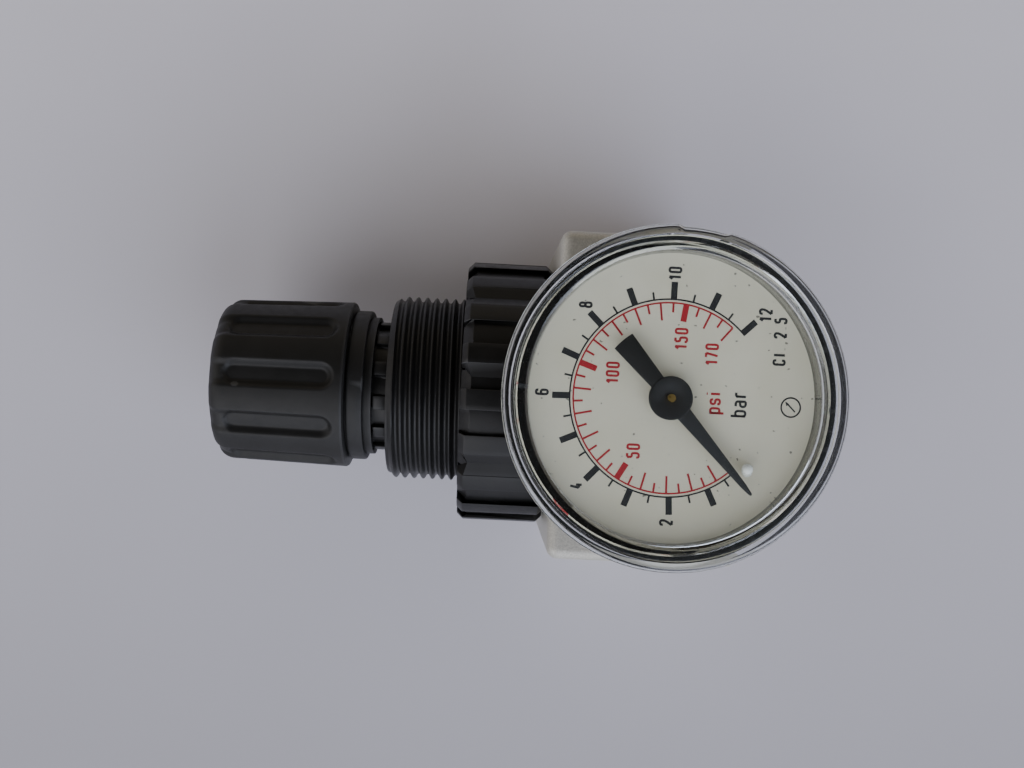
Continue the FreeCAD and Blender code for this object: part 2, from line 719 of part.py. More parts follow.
def make_knob():
    """Fluted knob on the screw's hexagon, and the toothed ring that locks it on the neck's splines."""
    knob = body("knob", turn=FLUTE_PHASE)
    section = [(knob_bore, knob_low), (knob_skirt - lock_chamfer, knob_low),
               (knob_skirt, knob_low + lock_chamfer),
               (knob_end, knob_high - 2.5), (knob_end - 0.7, knob_high - 0.8), (knob_end - 2.4, knob_high),
               (0, knob_high), (0, knob_boss_low), (knob_boss, knob_boss_low), (knob_boss, knob_ceiling),
               (knob_bore, knob_ceiling)]
    revolve(knob, section)
    socket = outline(knob, "XY_Plane", hexagon(hex_width + 0.12), (0, 0, knob_boss_low))
    pocket(knob, socket, knob_high - 0.9 - knob_boss_low, upward=True)
    flute = circles(knob, "XY_Plane", flute_radius, ((flute_centre, 0),), (0, 0, flute_low))
    ring_pattern(knob, pocket(knob, flute, knob_high - flute_low + 1, upward=True), KNOB_FLUTES)

    lock = body("knob_lock_ring")
    section = [(lock_bore, lock_low), (lock_skirt, lock_low), (lock_skirt, lock_brim_low),
               (lock_radius - lock_chamfer, lock_brim_low), (lock_radius, lock_brim_low + lock_chamfer),
               (lock_radius, lock_high - lock_chamfer), (lock_radius - lock_chamfer, lock_high),
               (lock_skirt, lock_high), (lock_skirt, lock_high + lock_skirt_rise),
               (lock_bore, lock_high + lock_skirt_rise)]
    revolve(lock, section)
    tooth = rectangle(lock_tooth_radius, lock_bore + 0.4, -lock_tooth_width / 2, lock_tooth_width / 2)
    first = pad(lock, outline(lock, "XY_Plane", tooth, (0, 0, lock_low)), lock_tooth_high - lock_low)
    ring_pattern(lock, first, SPLINES)


# ---------------------------------------------------------------- gauge


def make_gauge_socket():
    """Brass stem: G1/8 end, square wrench shank, and the block that holds tube and movement."""
    socket = gauge_body("gauge_socket")
    bore = stem_bore_radius
    thread = small_bore - thread_slack
    foot_low = front_depth - small_depth + 0.4
    section = [(bore, foot_low), (thread, foot_low), (thread, shank_low), (5.5, shank_low), (5.5, case_back),
               (socket_neck, case_back), (socket_neck, case_floor), (bore, case_floor)]
    revolve(socket, section)
    half = shank_width / 2
    shank = rectangle(-half, half, -half, half)
    pad(socket, outline(socket, "XY_Plane", shank, (0, 0, shank_low)), case_back - shank_low)
    block = [(-5, -13.0), (5, -13.0), (5, -3), (11.2, -3), (11.2, 3), (5, 3), (5, 5.5), (-5, 5.5), (-5, 3),
             (-11.2, 3), (-11.2, -3), (-5, -3)]
    pad(socket, outline(socket, "XY_Plane", block, (0, 0, case_floor)), block_high - case_floor)
    start = TUBE_START + TUBE_SWEEP
    foot = [on_circle(tube_radius - 1.3, start), on_circle(tube_radius + 1.4, start),
            on_circle(tube_radius + 1.4, start + 16), on_circle(tube_radius - 1.3, start + 16),
            on_circle(tube_radius - 1.2, start + 8)]
    pad(socket, outline(socket, "XY_Plane", foot, (0, 0, case_floor)), tube_high + 0.4 - case_floor)
    drill = circles(socket, "XY_Plane", bore, shift=(0, 0, front_depth - small_depth))
    pocket(socket, drill, 24.0, upward=True)
    centres = ((-case_screw_offset, 0), (case_screw_offset, 0))
    screw_holes = circles(socket, "XY_Plane", case_screw_hole, centres, (0, 0, case_floor - 0.5))
    pocket(socket, screw_holes, 4.8, upward=True)

    washer = gauge_body("gauge_washer")
    revolve(washer, tube_section(small_bore + 0.1, 7.3, front_depth, shank_low))

    screws = gauge_body("case_screws")
    for side in (-1, 1):
        place = ((side * case_screw_offset, 0),)
        head = circles(screws, "XY_Plane", case_screw_head, place, (0, 0, case_back))
        pad(screws, head, case_screw_head_height, back=True)
        stem = circles(screws, "XY_Plane", case_screw_radius, place, (0, 0, case_back))
        pad(screws, stem, case_screw_length)


def make_gauge_case():
    """Black plastic case and its clear snap-on window."""
    case = gauge_body("gauge_case")
    neck_hole = socket_neck + 0.04
    section = [(neck_hole, case_back), (case_radius - case_chamfer, case_back),
               (case_radius, case_back + case_chamfer), (case_radius, case_shoulder),
               (rim_outer, case_shoulder), (rim_outer, case_rim), (rim_inner, case_rim),
               (rim_inner, dial_back), (dial_ledge, dial_back), (dial_ledge, dial_back - 1.2),
               (case_bore, dial_back - 2.2), (case_bore, case_floor), (neck_hole, case_floor)]
    revolve(case, section)
    centres = ((-case_screw_offset, 0), (case_screw_offset, 0))
    holes = circles(case, "XY_Plane", case_screw_hole, centres, (0, 0, case_back))
    pocket(case, holes, 3.0, upward=True)
    window = gauge_body("gauge_window")
    skirt_low = case_shoulder + 0.2
    skirt_roof = case_rim + 0.2
    section = [(0, window_front), (window_radius - window_round, window_front),
               (window_radius, window_front - window_round), (window_radius, skirt_low),
               (skirt_outer, skirt_low), (skirt_outer, skirt_roof), (skirt_inner_wall, skirt_roof),
               (skirt_inner_wall, dial_face + 0.1), (skirt_inner, dial_face + 0.1),
               (skirt_inner, window_back), (0, window_back)]
    revolve(window, section)
    dial = gauge_body("gauge_dial")
    revolve(dial, tube_section(1.9, dial_radius, dial_back, dial_face))
    pin = gauge_body("stop_pin", PIN_ANGLE)
    pad(pin, circles(pin, "XY_Plane", pin_radius, ((pin_circle, 0),), (0, 0, dial_face)), 3.0)


def make_pointer():
    """Pointer along the body's X axis, with a round hub and a counterweight tail."""
    pointer = gauge_body("pointer", POINTER_REST)
    needle = [(-pointer_tail + 0.5, -1.375), (-pointer_tail, -0.7), (-pointer_tail, 0.7),
              (-pointer_tail + 0.5, 1.375), (0, 0.93), (pointer_tip - 1, 0.5), (pointer_tip, 0.2),
              (pointer_tip, -0.2), (pointer_tip - 1, -0.5), (0, -0.93)]
    pad(pointer, outline(pointer, "XY_Plane", needle, (0, 0, pointer_low)), pointer_high - pointer_low)
    hub = circles(pointer, "XY_Plane", pointer_hub, shift=(0, 0, pointer_low - 0.4))
    pad(pointer, hub, pointer_high - pointer_low + 0.5)
    bore = circles(pointer, "XY_Plane", arbor_radius + 0.01, shift=(0, 0, pointer_low - 1))
    pocket(pointer, bore, 3.0, upward=True)


def make_bourdon_tube():
    """Flattened C-shaped tube and the tip piece that closes it and pulls the link."""
    tube = gauge_body("bourdon_tube", TUBE_START + TUBE_SWEEP)
    half = tube_width / 2
    outer = tube_section(tube_radius - half, tube_radius + half, tube_low, tube_high)
    turned_part = revolve(tube, outer, TUBE_SWEEP)
    turned_part.Reversed = True
    inner = tube_section(tube_radius - half + tube_wall, tube_radius + half - tube_wall,
                         tube_low + tube_wall, tube_high - tube_wall)
    hollow = revolve(tube, inner, TUBE_SWEEP, "Groove")
    hollow.Reversed = True
    tip = gauge_body("tube_tip")
    inside = tube_radius - tip_grip
    outside = tube_radius + tip_grip
    shape = [on_circle(inside, TUBE_START), on_circle(outside, TUBE_START),
             on_circle(outside, TUBE_START - 9),
             on_circle(tube_radius + 0.6, TIP_END), on_circle(tube_radius - 1.2, TIP_END),
             on_circle(inside, TUBE_START - 9)]
    pad(tip, outline(tip, "XY_Plane", shape, (0, 0, tube_low - 0.3)), link_low - 0.1 - tube_low + 0.3)
    centre = on_circle(tube_radius - tip_pin_inset, TIP_PIN_ANGLE)
    pin = circles(tip, "XY_Plane", link_pin_radius, (centre,), (0, 0, tube_high))
    pad(tip, pin, link_high + 0.5 - tube_high)


def strap(start, end, half):
    """Outline of a flat bar round two hole centres, with blunt points at its ends."""
    run = (plain(end[0]) - plain(start[0]), plain(end[1]) - plain(start[1]))
    length = math.hypot(*run)
    along = (run[0] / length * half, run[1] / length * half)
    across = (-along[1], along[0])
    corners = [(start[0] + across[0], start[1] + across[1]), (start[0] - along[0], start[1] - along[1]),
               (start[0] - across[0], start[1] - across[1]), (end[0] - across[0], end[1] - across[1]),
               (end[0] + along[0], end[1] + along[1]), (end[0] + across[0], end[1] + across[1])]
    return corners


def make_link():
    """Flat link from the tube tip to the sector's arm, and its pin on the arm."""
    start = on_circle(tube_radius - tip_pin_inset, TIP_PIN_ANGLE)
    arm = on_circle(link_arm, LINK_REST)
    end = (arm[0], arm[1] - gear_centres)
    link = gauge_body("link")
    bar = outline(link, "XY_Plane", strap(start, end, plain(link_half)), (0, 0, link_low))
    pad(link, bar, link_high - link_low)
    wide_hole = circles(link, "XY_Plane", link_slack_eye, (start,), (0, 0, link_low))
    pocket(link, wide_hole, 2.0, upward=True)
    close_hole = circles(link, "XY_Plane", link_eye, (end,), (0, 0, link_low))
    pocket(link, close_hole, 2.0, upward=True)
    pin = gauge_body("link_pin")
    pin_circle_sketch = circles(pin, "XY_Plane", link_pin_radius, (end,), (0, 0, blade_low - 0.2))
    pad(pin, pin_circle_sketch, link_high + 0.3 - blade_low + 0.2)


def make_movement():
    """Plates, pillars and screws that carry the sector and the pinion."""
    outline_points = rectangle(-5.5, 5.5, -11.8, 5.5)
    back = gauge_body("movement_back_plate")
    front = gauge_body("movement_front_plate")
    for plate, low in ((back, block_high), (front, front_plate_z)):
        pad(plate, outline(plate, "XY_Plane", outline_points, (0, 0, low)), plate_thick)
        arbor_hole = circles(plate, "XY_Plane", arbor_radius + 0.03, shift=(0, 0, low - 1))
        pocket(plate, arbor_hole, 4.0, upward=True)
        pivot = circles(plate, "XY_Plane", pivot_hole, ((0, -gear_centres),), (0, 0, low - 1))
        pocket(plate, pivot, 4.0, upward=True)
    centres = ((-4.2, 4.1), (4.2, 4.1), (-4.4, -10.6))
    pillars = gauge_body("movement_pillars")
    screws = gauge_body("movement_screws")
    low = block_high + plate_thick
    for centre in centres:
        post = circles(pillars, "XY_Plane", pillar_radius, (centre,), (0, 0, low))
        pad(pillars, post, front_plate_z - low)
        head_place = (0, 0, front_plate_z + plate_thick)
        head = circles(screws, "XY_Plane", plate_screw_radius, (centre,), head_place)
        pad(screws, head, plate_screw_height)


def make_sector():
    """Toothed sector on its arbor, with the arm that the link pulls."""
    sector = gauge_body("sector_gear")
    pitch = gear_module * SECTOR_TEETH / 2
    blade = [on_circle(sector_hub, 200), on_circle(sector_hub, 0), on_circle(pitch - 1.4, 52)]
    blade += [on_circle(pitch + gear_module, angle) for angle in range(51, 99, 3)]
    blade += [on_circle(pitch - 1.4, 96)]
    shift = (0, -gear_centres, blade_low)
    pad(sector, outline(sector, "XY_Plane", blade, shift), blade_high - blade_low)
    arm = [on_circle(sector_hub, LINK_REST - 60), on_circle(link_arm, LINK_REST - 14),
           on_circle(link_arm + 0.9, LINK_REST - 8), on_circle(link_arm + 0.9, LINK_REST + 8),
           on_circle(link_arm, LINK_REST + 14), on_circle(sector_hub, LINK_REST + 60)]
    pad(sector, outline(sector, "XY_Plane", arm, shift), blade_high - blade_low)
    hub = circles(sector, "XY_Plane", sector_hub, ((0, -gear_centres),), (0, 0, blade_low - 1.6))
    pad(sector, hub, 4.2)
    arbor = circles(sector, "XY_Plane", pivot_radius, ((0, -gear_centres),), (0, 0, block_high + 0.2))
    pad(sector, arbor, front_plate_z + plate_thick - block_high - 0.4)
    for gap in range(SECTOR_GAPS):
        angle = SECTOR_FIRST_GAP + gap * 360.0 / SECTOR_TEETH
        root = pitch - gear_module * 1.25
        tip = pitch + gear_module * 1.6
        tooth = [on_circle(root, angle - 0.55), on_circle(tip, angle - 2.0), on_circle(tip, angle + 2.0),
                 on_circle(root, angle + 0.55)]
        sketch = outline(sector, "XY_Plane", tooth, (0, -gear_centres, blade_low - 0.5))
        pocket(sector, sketch, 2.0, upward=True)
    eye = circles(sector, "XY_Plane", link_eye, (on_circle(link_arm, LINK_REST),), shift)
    pocket(sector, eye, 2.0, upward=True)

    pinion = gauge_body("pinion_arbor")
    pad(pinion, circles(pinion, "XY_Plane", arbor_radius, shift=(0, 0, block_high + 0.1)),
        pointer_high + 0.5 - block_high)
    tip_radius = gear_module * (PINION_TEETH / 2 + 1)
    pad(pinion, circles(pinion, "XY_Plane", tip_radius, shift=(0, 0, blade_low - 0.5)), 1.8)
    half_pitch = 180 / PINION_TEETH
    tooth_gap = [on_circle(0.72, -94), on_circle(1.35, -105), on_circle(1.35, -75), on_circle(0.72, -86)]
    tooth_gap = [turned_point(point, half_pitch) for point in tooth_gap]
    cut = pocket(pinion, outline(pinion, "XY_Plane", tooth_gap, (0, 0, blade_low - 1)), 3.0, upward=True)
    ring_pattern(pinion, cut, PINION_TEETH)
    pad(pinion, circles(pinion, "XY_Plane", 1.2, shift=(0, 0, 42.1)), 0.8)


def make_hairspring():
    """Flat spiral spring round the arbor, between two curves that open at a steady rate."""
    inner = 1.35
    outer = 4.2
    strip = 0.12
    height = 0.5
    low = 42.25
    steps = 60

    def curve(extra):
        points = []
        for step in range(steps + 1):
            share = step / steps
            radius = inner + (outer - inner) * share + extra
            angle = 2 * math.pi * HAIRSPRING_TURNS * share
            points.append(FreeCAD.Vector(radius * math.cos(angle), radius * math.sin(angle), low))
        made = Part.BSplineCurve()
        made.interpolate(points)
        return made.toShape(), points

    near, near_points = curve(0.0)
    far, far_points = curve(strip)
    ends = [Part.makeLine(near_points[k], far_points[k]) for k in (0, -1)]
    wire = Part.Wire(Part.__sortEdges__([near, far] + ends))
    spring = doc.addObject("Part::Feature", "hairspring")
    spring.Label = "hairspring"
    spring.Shape = Part.Face(wire).extrude(FreeCAD.Vector(0, 0, height))
    spring.Placement = GAUGE_TURN
    spring.Placement.Base = FreeCAD.Vector(plain(port_axis), 0, 0)
    pieces.append(spring)


# ---------------------------------------------------------------- build, check and write

make_body_casting()
make_union_ring()
make_bonnet()
make_valve()
make_diaphragm()
make_adjuster()
make_knob()
make_gauge_socket()
make_gauge_case()
make_pointer()
make_bourdon_tube()
make_link()
make_movement()
make_sector()
make_hairspring()
doc.recompute()

for item in doc.Objects:
    if "Invalid" in item.State or "Error" in item.State:
        raise RuntimeError(item.Name + " did not compute")
for piece in pieces:
    if piece.Shape.isNull() or not piece.Shape.isValid():
        raise RuntimeError(piece.Label + " has no valid shape")

os.makedirs("parts", exist_ok=True)
for piece in pieces:
    piece.Shape.exportStep("parts/" + piece.Label + ".step")
    solids = len(piece.Shape.Solids)
    print(piece.Label, solids, round(piece.Shape.Volume, 3), piece.Shape.BoundBox)
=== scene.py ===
import json
import math

import bmesh
import bpy
from mathutils import Matrix, Vector


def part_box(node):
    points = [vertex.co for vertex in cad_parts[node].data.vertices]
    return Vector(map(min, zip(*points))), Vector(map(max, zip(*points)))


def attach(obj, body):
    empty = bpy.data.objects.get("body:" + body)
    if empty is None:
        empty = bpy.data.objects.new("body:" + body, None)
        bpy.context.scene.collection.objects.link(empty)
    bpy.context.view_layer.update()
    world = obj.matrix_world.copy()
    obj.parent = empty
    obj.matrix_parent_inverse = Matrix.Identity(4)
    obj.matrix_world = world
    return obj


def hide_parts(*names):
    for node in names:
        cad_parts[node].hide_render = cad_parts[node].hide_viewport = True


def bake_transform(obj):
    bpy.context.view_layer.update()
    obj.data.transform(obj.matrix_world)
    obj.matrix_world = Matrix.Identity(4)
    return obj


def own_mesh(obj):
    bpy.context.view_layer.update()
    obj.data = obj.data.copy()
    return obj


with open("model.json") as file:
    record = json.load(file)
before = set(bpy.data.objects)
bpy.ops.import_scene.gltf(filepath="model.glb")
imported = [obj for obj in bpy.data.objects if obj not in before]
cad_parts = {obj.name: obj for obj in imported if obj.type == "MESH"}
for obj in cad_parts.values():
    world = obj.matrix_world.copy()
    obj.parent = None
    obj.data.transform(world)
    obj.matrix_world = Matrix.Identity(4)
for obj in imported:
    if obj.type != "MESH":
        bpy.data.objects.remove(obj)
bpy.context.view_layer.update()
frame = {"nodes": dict(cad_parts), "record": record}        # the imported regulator, in metres, lying on its flat back

# Drawings are in millimetres. Regulator pieces are drawn upright round Z with the knob up, and angles
# run from the side that faces the viewer. Gauge pieces are drawn face up, with 12 o'clock on +Y.

MM = 0.001
THIN = 0.0005            # vertices closer than this, in millimetres, are one


def goes(x_to, y_to, z_to, at=(0, 0, 0)):
    """A place that turns a drawing's X, Y and Z towards three directions of the frame."""
    return Matrix.Translation(at) @ Matrix((x_to, y_to, z_to)).transposed().to_4x4()


def span(node):
    """Lowest and highest corner of a node, in millimetres."""
    low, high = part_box(node)
    return low / MM, high / MM


# ---------------------------------------------------------------- stations, read from the frame

ring_high = span("union_ring")[1]
bonnet_low = span("bonnet")[0]
knob_low, knob_high = span("knob")
lock_high = span("knob_lock_ring")[1]
window_low, window_high = span("gauge_window")
case_low, case_high = span("gauge_case")
dial_low, dial_high = span("gauge_dial")
pointer_low = span("pointer")[0]
pin_low, pin_high = span("stop_pin")
casting_low = span("body_casting")[0]
tube_low, tube_high = span("bourdon_tube")
plate_low = span("diaphragm_plate")[0]
poppet_high = span("poppet")[1]

GAUGE_X = (window_low.x + window_high.x) / 2
REGULATOR = goes((0, 0, 1), (0, 1, 0), (-1, 0, 0))
GAUGE = goes((0, 1, 0), (-1, 0, 0), (0, 0, 1), (GAUGE_X * MM, 0, 0))

# union ring
RING_FOOT = -ring_high.x
RING_CREST = 21.0
RING_VALLEY = 20.2
RING_BORE = 18.5
RING_MOUTH = 15.15
RING_TAPER = 1.5
RIBS = 19
RIB_HALF = math.radians(4.25)
RIB_PHASE = math.radians(-3.9)

# bonnet
THREAD_MAJOR = 14.85
THREAD_MINOR = 14.08
THREAD_PITCH = 1.5
THREAD_TOP = 11.5
NECK = 10.5
NECK_ROOT = 9.7
NECK_TOP = 13.8
SPLINES = 12
BONNET_TOP = -bonnet_low.x

# knob and lock ring
KNOB_FOOT = -knob_high.x
KNOB_TOP = -knob_low.x
KNOB_SKIRT = knob_high.y
KNOB_END = 12.97
KNOB_FILLET = 2.5
FLUTES = 10
FLUTE_PHASE = math.radians(4.5)
FLUTE_HALF = 2.3
FLUTE_WALL = 1.25
FLUTE_DEPTH = 1.0
FLUTE_NOTCH = 0.5
FLUTE_LOW = KNOB_FOOT + 1.3
FLUTE_HIGH = KNOB_TOP - 1.75
LOCK_FOOT = -lock_high.x
LOCK_RADIUS = lock_high.y

# gauge
WINDOW = window_high.y
FRONT = window_high.z
CASE = case_high.y
DIAL = dial_high.z
INK = 0.02
SCALE_START = 228.6
DEGREES_PER_BAR = 22.9
PSI_PER_BAR = 14.5038
FULL_BAR = 12
FULL_PSI = 170
ARC_LINE = 0.2
FIGURES = 1.68
BAR_ARC = 11.82
PSI_ARC = 11.4
POINTER_REST = math.radians(222.5)
POINTER_TIP = 14.9
POINTER_TAIL = 8.85
POINTER_HUB = 2.6


# ---------------------------------------------------------------- drawing with bmesh


def lathe(outline, steps, closed=False, mesh=None):
    """Spin a half section, given as (radius, height) points, round Z."""
    mesh = mesh or bmesh.new()
    points = [mesh.verts.new((radius, 0, height)) for radius, height in outline]
    following = points[1:] + points[:1] if closed else points[1:]
    edges = [mesh.edges.new(pair) for pair in zip(points, following)]
    bmesh.ops.spin(mesh, geom=points + edges, axis=(0, 0, 1), cent=(0, 0, 0),
                   angle=math.tau, steps=steps, use_merge=True)
    bmesh.ops.remove_doubles(mesh, verts=mesh.verts[:], dist=THIN)
    bmesh.ops.recalc_face_normals(mesh, faces=mesh.faces[:])
    return mesh


def soften(mesh, width, segments=2, sharp=25, picks=None):
    """Bevel every edge that is sharper than the angle and that the test accepts."""
    edges = [edge for edge in mesh.edges
             if len(edge.link_faces) == 2 and edge.calc_face_angle() > math.radians(sharp)
             and (picks is None or picks(edge))]
    bmesh.ops.bevel(mesh, geom=edges, offset=width, segments=segments, profile=0.5,
                    affect="EDGES", material=-1, clamp_overlap=True)
    return mesh


def verts_of(made):
    return [item for item in made["geom"] if isinstance(item, bmesh.types.BMVert)]


def radius_of(point):
    return math.hypot(point.x, point.y)


def off_centre(point, count, phase=0.0):
    """Angle from the nearest of a number of evenly spaced directions."""
    step = math.tau / count
    turn = math.atan2(point.y, point.x) - phase
    return abs((turn + step / 2) % step - step / 2)


def set_radius(vert, radius):
    vert.co.xy = vert.co.xy.normalized() * radius


def raise_sectors(mesh, count, half_angle, radius, low, high, near, phase=0.0):
    """Grow the faces of a wall, in evenly spaced sectors, to another radius."""
    faces = []
    for face in mesh.faces:
        middle = face.calc_center_median()
        in_band = low < middle.z < high and abs(radius_of(middle) - near) < 0.2
        if in_band and off_centre(middle, count, phase) < half_angle:
            faces.append(face)
    for vert in verts_of(bmesh.ops.extrude_face_region(mesh, geom=faces)):
        set_radius(vert, radius)


def rim_at(mesh, height):
    """The open edges that lie at one height."""
    return [edge for edge in mesh.edges
            if edge.is_boundary and all(abs(vert.co.z - height) < 0.01 for vert in edge.verts)]


def run_rim(mesh, rim, radius):
    """Carry an open rim in to a circle, at the same height."""
    for vert in verts_of(bmesh.ops.extrude_edge_only(mesh, edges=rim)):
        set_radius(vert, radius)


def close_up(mesh):
    """Fill what is still open and point every face outwards."""
    bmesh.ops.remove_doubles(mesh, verts=mesh.verts[:], dist=THIN)
    bmesh.ops.holes_fill(mesh, edges=[edge for edge in mesh.edges if edge.is_boundary])
    bmesh.ops.recalc_face_normals(mesh, faces=mesh.faces[:])
    return mesh


def as_piece(mesh, name, finish, place, body=None, stands_for=(), smooth=35):
    """Turn a drawing into a piece of the object, with its place in its mesh."""
    mesh.transform(place @ Matrix.Scale(MM, 4))
    data = bpy.data.meshes.new(name)
    mesh.to_mesh(data)
    mesh.free()
    data.shade_smooth()
    data.set_sharp_from_angle(angle=math.radians(smooth))
    data.materials.append(finish)
    piece = bpy.data.objects.new(name, data)
    bpy.context.scene.collection.objects.link(piece)
    if body:
        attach(piece, body)
    if stands_for:
        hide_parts(*stands_for)
    return piece


# ---------------------------------------------------------------- materials


def linear(hex_colour):
    """An sRGB hex colour as linear red, green, blue and alpha."""
    channels = [int(hex_colour[start:start + 2], 16) / 255 for start in (1, 3, 5)]
    return [c / 12.92 if c <= 0.04045 else ((c + 0.055) / 1.055) ** 2.4 for c in channels] + [1.0]


def add(tree, kind, inputs=None, **properties):
    """Add one node, set its properties, and give each named input a value or a link."""
    made = tree.nodes.new("ShaderNode" + kind)
    for name, value in properties.items():
        setattr(made, name, value)
    for name, value in (inputs or {}).items():
        if isinstance(value, bpy.types.NodeSocket):
            tree.links.new(value, made.inputs[name])
        else:
            made.inputs[name].default_value = value
    return made


def new_finish(name):
    """An empty material and its tree."""
    finish = bpy.data.materials.new(name)
    finish.use_nodes = True
    finish.node_tree.nodes.clear()
    return finish, finish.node_tree


def shown(tree, shader):
    add(tree, "OutputMaterial", {"Surface": shader})


def per_metre(size_mm):
    """Texture scale whose features are about this size."""
    return 1 / (size_mm * MM)


def grain(tree, size_mm, detail=2.0, stretch=(1, 1, 1)):
    """Noise whose grains have a real size."""
    place = add(tree, "TexCoord").outputs["Object"]
    if stretch != (1, 1, 1):
        place = add(tree, "Mapping", {"Vector": place, "Scale": stretch}).outputs["Vector"]
    inputs = {"Vector": place, "Scale": per_metre(size_mm), "Detail": detail}
    return add(tree, "TexNoise", inputs).outputs["Fac"]


def ranged(tree, value, low, high, from_low=0.3, from_high=0.7):
    """Stretch a noise value to a range."""
    limits = {"Value": value, "From Min": from_low, "From Max": from_high, "To Min": low, "To Max": high}
    return add(tree, "MapRange", limits).outputs["Result"]


def between(tree, share, low, high):
    """A colour between two others."""
    return add(tree, "Mix", {0: share, 6: low, 7: high}, data_type="RGBA").outputs[2]


def bumped(tree, height, depth_mm):
    """A normal from a height that goes from 0 to 1."""
    return add(tree, "Bump", {"Height": height, "Strength": 1.0, "Distance": depth_mm * MM}).outputs["Normal"]


def moulded_black(name, dark, light, gloss, dull, texture_mm, depth_mm):
    """Black plastic, injection moulded: near-black, a fine spark-eroded grain, and paler convex edges that are partly
    wear and partly a painted highlight.
    """
    finish, tree = new_finish(name)
    cloudy = ranged(tree, grain(tree, 6.0), 0.0, 1.0)
    # paler convex edges found by pointiness: partly edge wear, partly a painted highlight along the rims
    edges = ranged(tree, add(tree, "NewGeometry").outputs["Pointiness"], 0.0, 1.0, 0.52, 0.62)
    tone = between(tree, cloudy, linear(dark), linear(light))
    tone = between(tree, ranged(tree, edges, 0.0, 0.5, 0.0, 1.0), tone, linear("#5a5b5c"))
    texture = grain(tree, texture_mm, 3.0)
    surface = add(tree, "BsdfPrincipled", {
        "Base Color": tone, "Roughness": ranged(tree, grain(tree, 1.2), gloss, dull), "IOR": 1.53,
        "Specular IOR Level": 0.3, "Normal": bumped(tree, texture, depth_mm)})
    shown(tree, surface.outputs[0])
    return finish


def painted_zinc():
    """Die-cast zinc with sprayed silver-grey enamel: pale, slightly warm, orange peel, fine flake."""
    finish, tree = new_finish("silver_enamel_on_zinc")
    flake = ranged(tree, grain(tree, 0.22, 1.0), 0.0, 1.0)
    cloudy = ranged(tree, grain(tree, 9.0), 0.0, 1.0)
    tone = between(tree, flake, linear("#a9a8a0"), linear("#c6c4bb"))
    tone = between(tree, ranged(tree, cloudy, 0.0, 0.35, 0.0, 1.0), tone, linear("#b3b0a4"))
    peel = bumped(tree, grain(tree, 0.7, 1.0), 0.02)
    surface = add(tree, "BsdfPrincipled", {
        "Base Color": tone, "Metallic": 0.25, "Roughness": ranged(tree, flake, 0.34, 0.48, 0.0, 1.0),
        "IOR": 1.5, "Normal": peel})
    shown(tree, surface.outputs[0])
    return finish


def metal(name, dark, light, gloss, dull, streak_mm, stretch):
    """Machined metal: a full metal with fine tool marks along one direction and a faint dull film."""
    finish, tree = new_finish(name)
    marks = grain(tree, streak_mm, 2.0, stretch)
    film = ranged(tree, grain(tree, 2.5), 0.0, 1.0)
    surface = add(tree, "BsdfPrincipled", {
        "Base Color": between(tree, film, linear(dark), linear(light)), "Metallic": 1.0,
        "Roughness": ranged(tree, film, gloss, dull, 0.0, 1.0), "Normal": bumped(tree, marks, 0.004)})
    shown(tree, surface.outputs[0])
    return finish


def nitrile_rubber():
    """Moulded nitrile rubber: deep black, dull, with a dusty bloom."""
    finish, tree = new_finish("nitrile_rubber_moulded")
    bloom = ranged(tree, grain(tree, 1.6, 3.0), 0.0, 1.0)
    surface = add(tree, "BsdfPrincipled", {
        "Base Color": between(tree, bloom, linear("#141414"), linear("#242424")),
        "Roughness": ranged(tree, bloom, 0.6, 0.8, 0.0, 1.0), "IOR": 1.52,
        "Normal": bumped(tree, grain(tree, 0.2), 0.01)})
    shown(tree, surface.outputs[0])
    return finish


def clear_window():
    """Polycarbonate, injection moulded and clear: bright edges, faint haze, and lamps shine through it."""
    finish, tree = new_finish("clear_polycarbonate_moulded")
    haze = ranged(tree, grain(tree, 5.0), 0.015, 0.05)
    glass = add(tree, "BsdfPrincipled", {
        "Base Color": linear("#f7fafa"), "Roughness": haze, "IOR": 1.58, "Transmission Weight": 1.0})
    clear = add(tree, "BsdfTransparent", {"Color": linear("#f4f7f7")})
    lamp = add(tree, "LightPath").outputs["Is Shadow Ray"]
    shown(tree, add(tree, "MixShader", {0: lamp, 1: glass.outputs[0], 2: clear.outputs[0]}).outputs[0])
    return finish


def dial_enamel():
    """Aluminium dial with baked off-white lacquer: warm white, even satin, tiny dust specks."""
    finish, tree = new_finish("off_white_dial_lacquer")
    cloudy = ranged(tree, grain(tree, 8.0), 0.0, 1.0)
    tone = between(tree, cloudy, linear("#e0d9c0"), linear("#e7e0ca"))
    speck = ranged(tree, grain(tree, 0.5, 0.0), 0.0, 1.0, 0.83, 0.86)
    tone = between(tree, speck, tone, linear("#8a8676"))
    surface = add(tree, "BsdfPrincipled", {
        "Base Color": tone, "Roughness": ranged(tree, cloudy, 0.5, 0.6, 0.0, 1.0), "IOR": 1.5,
        "Normal": bumped(tree, grain(tree, 0.3), 0.003)})
    shown(tree, surface.outputs[0])
    return finish


def ink(name, dark, light):
    """Screen-printed ink: flat colour, slightly uneven film, soft sheen."""
    finish, tree = new_finish(name)
    film = ranged(tree, grain(tree, 0.35, 3.0), 0.0, 1.0)
    surface = add(tree, "BsdfPrincipled", {
        "Base Color": between(tree, film, linear(dark), linear(light)),
        "Roughness": ranged(tree, film, 0.42, 0.55, 0.0, 1.0), "IOR": 1.5})
    shown(tree, surface.outputs[0])
    return finish


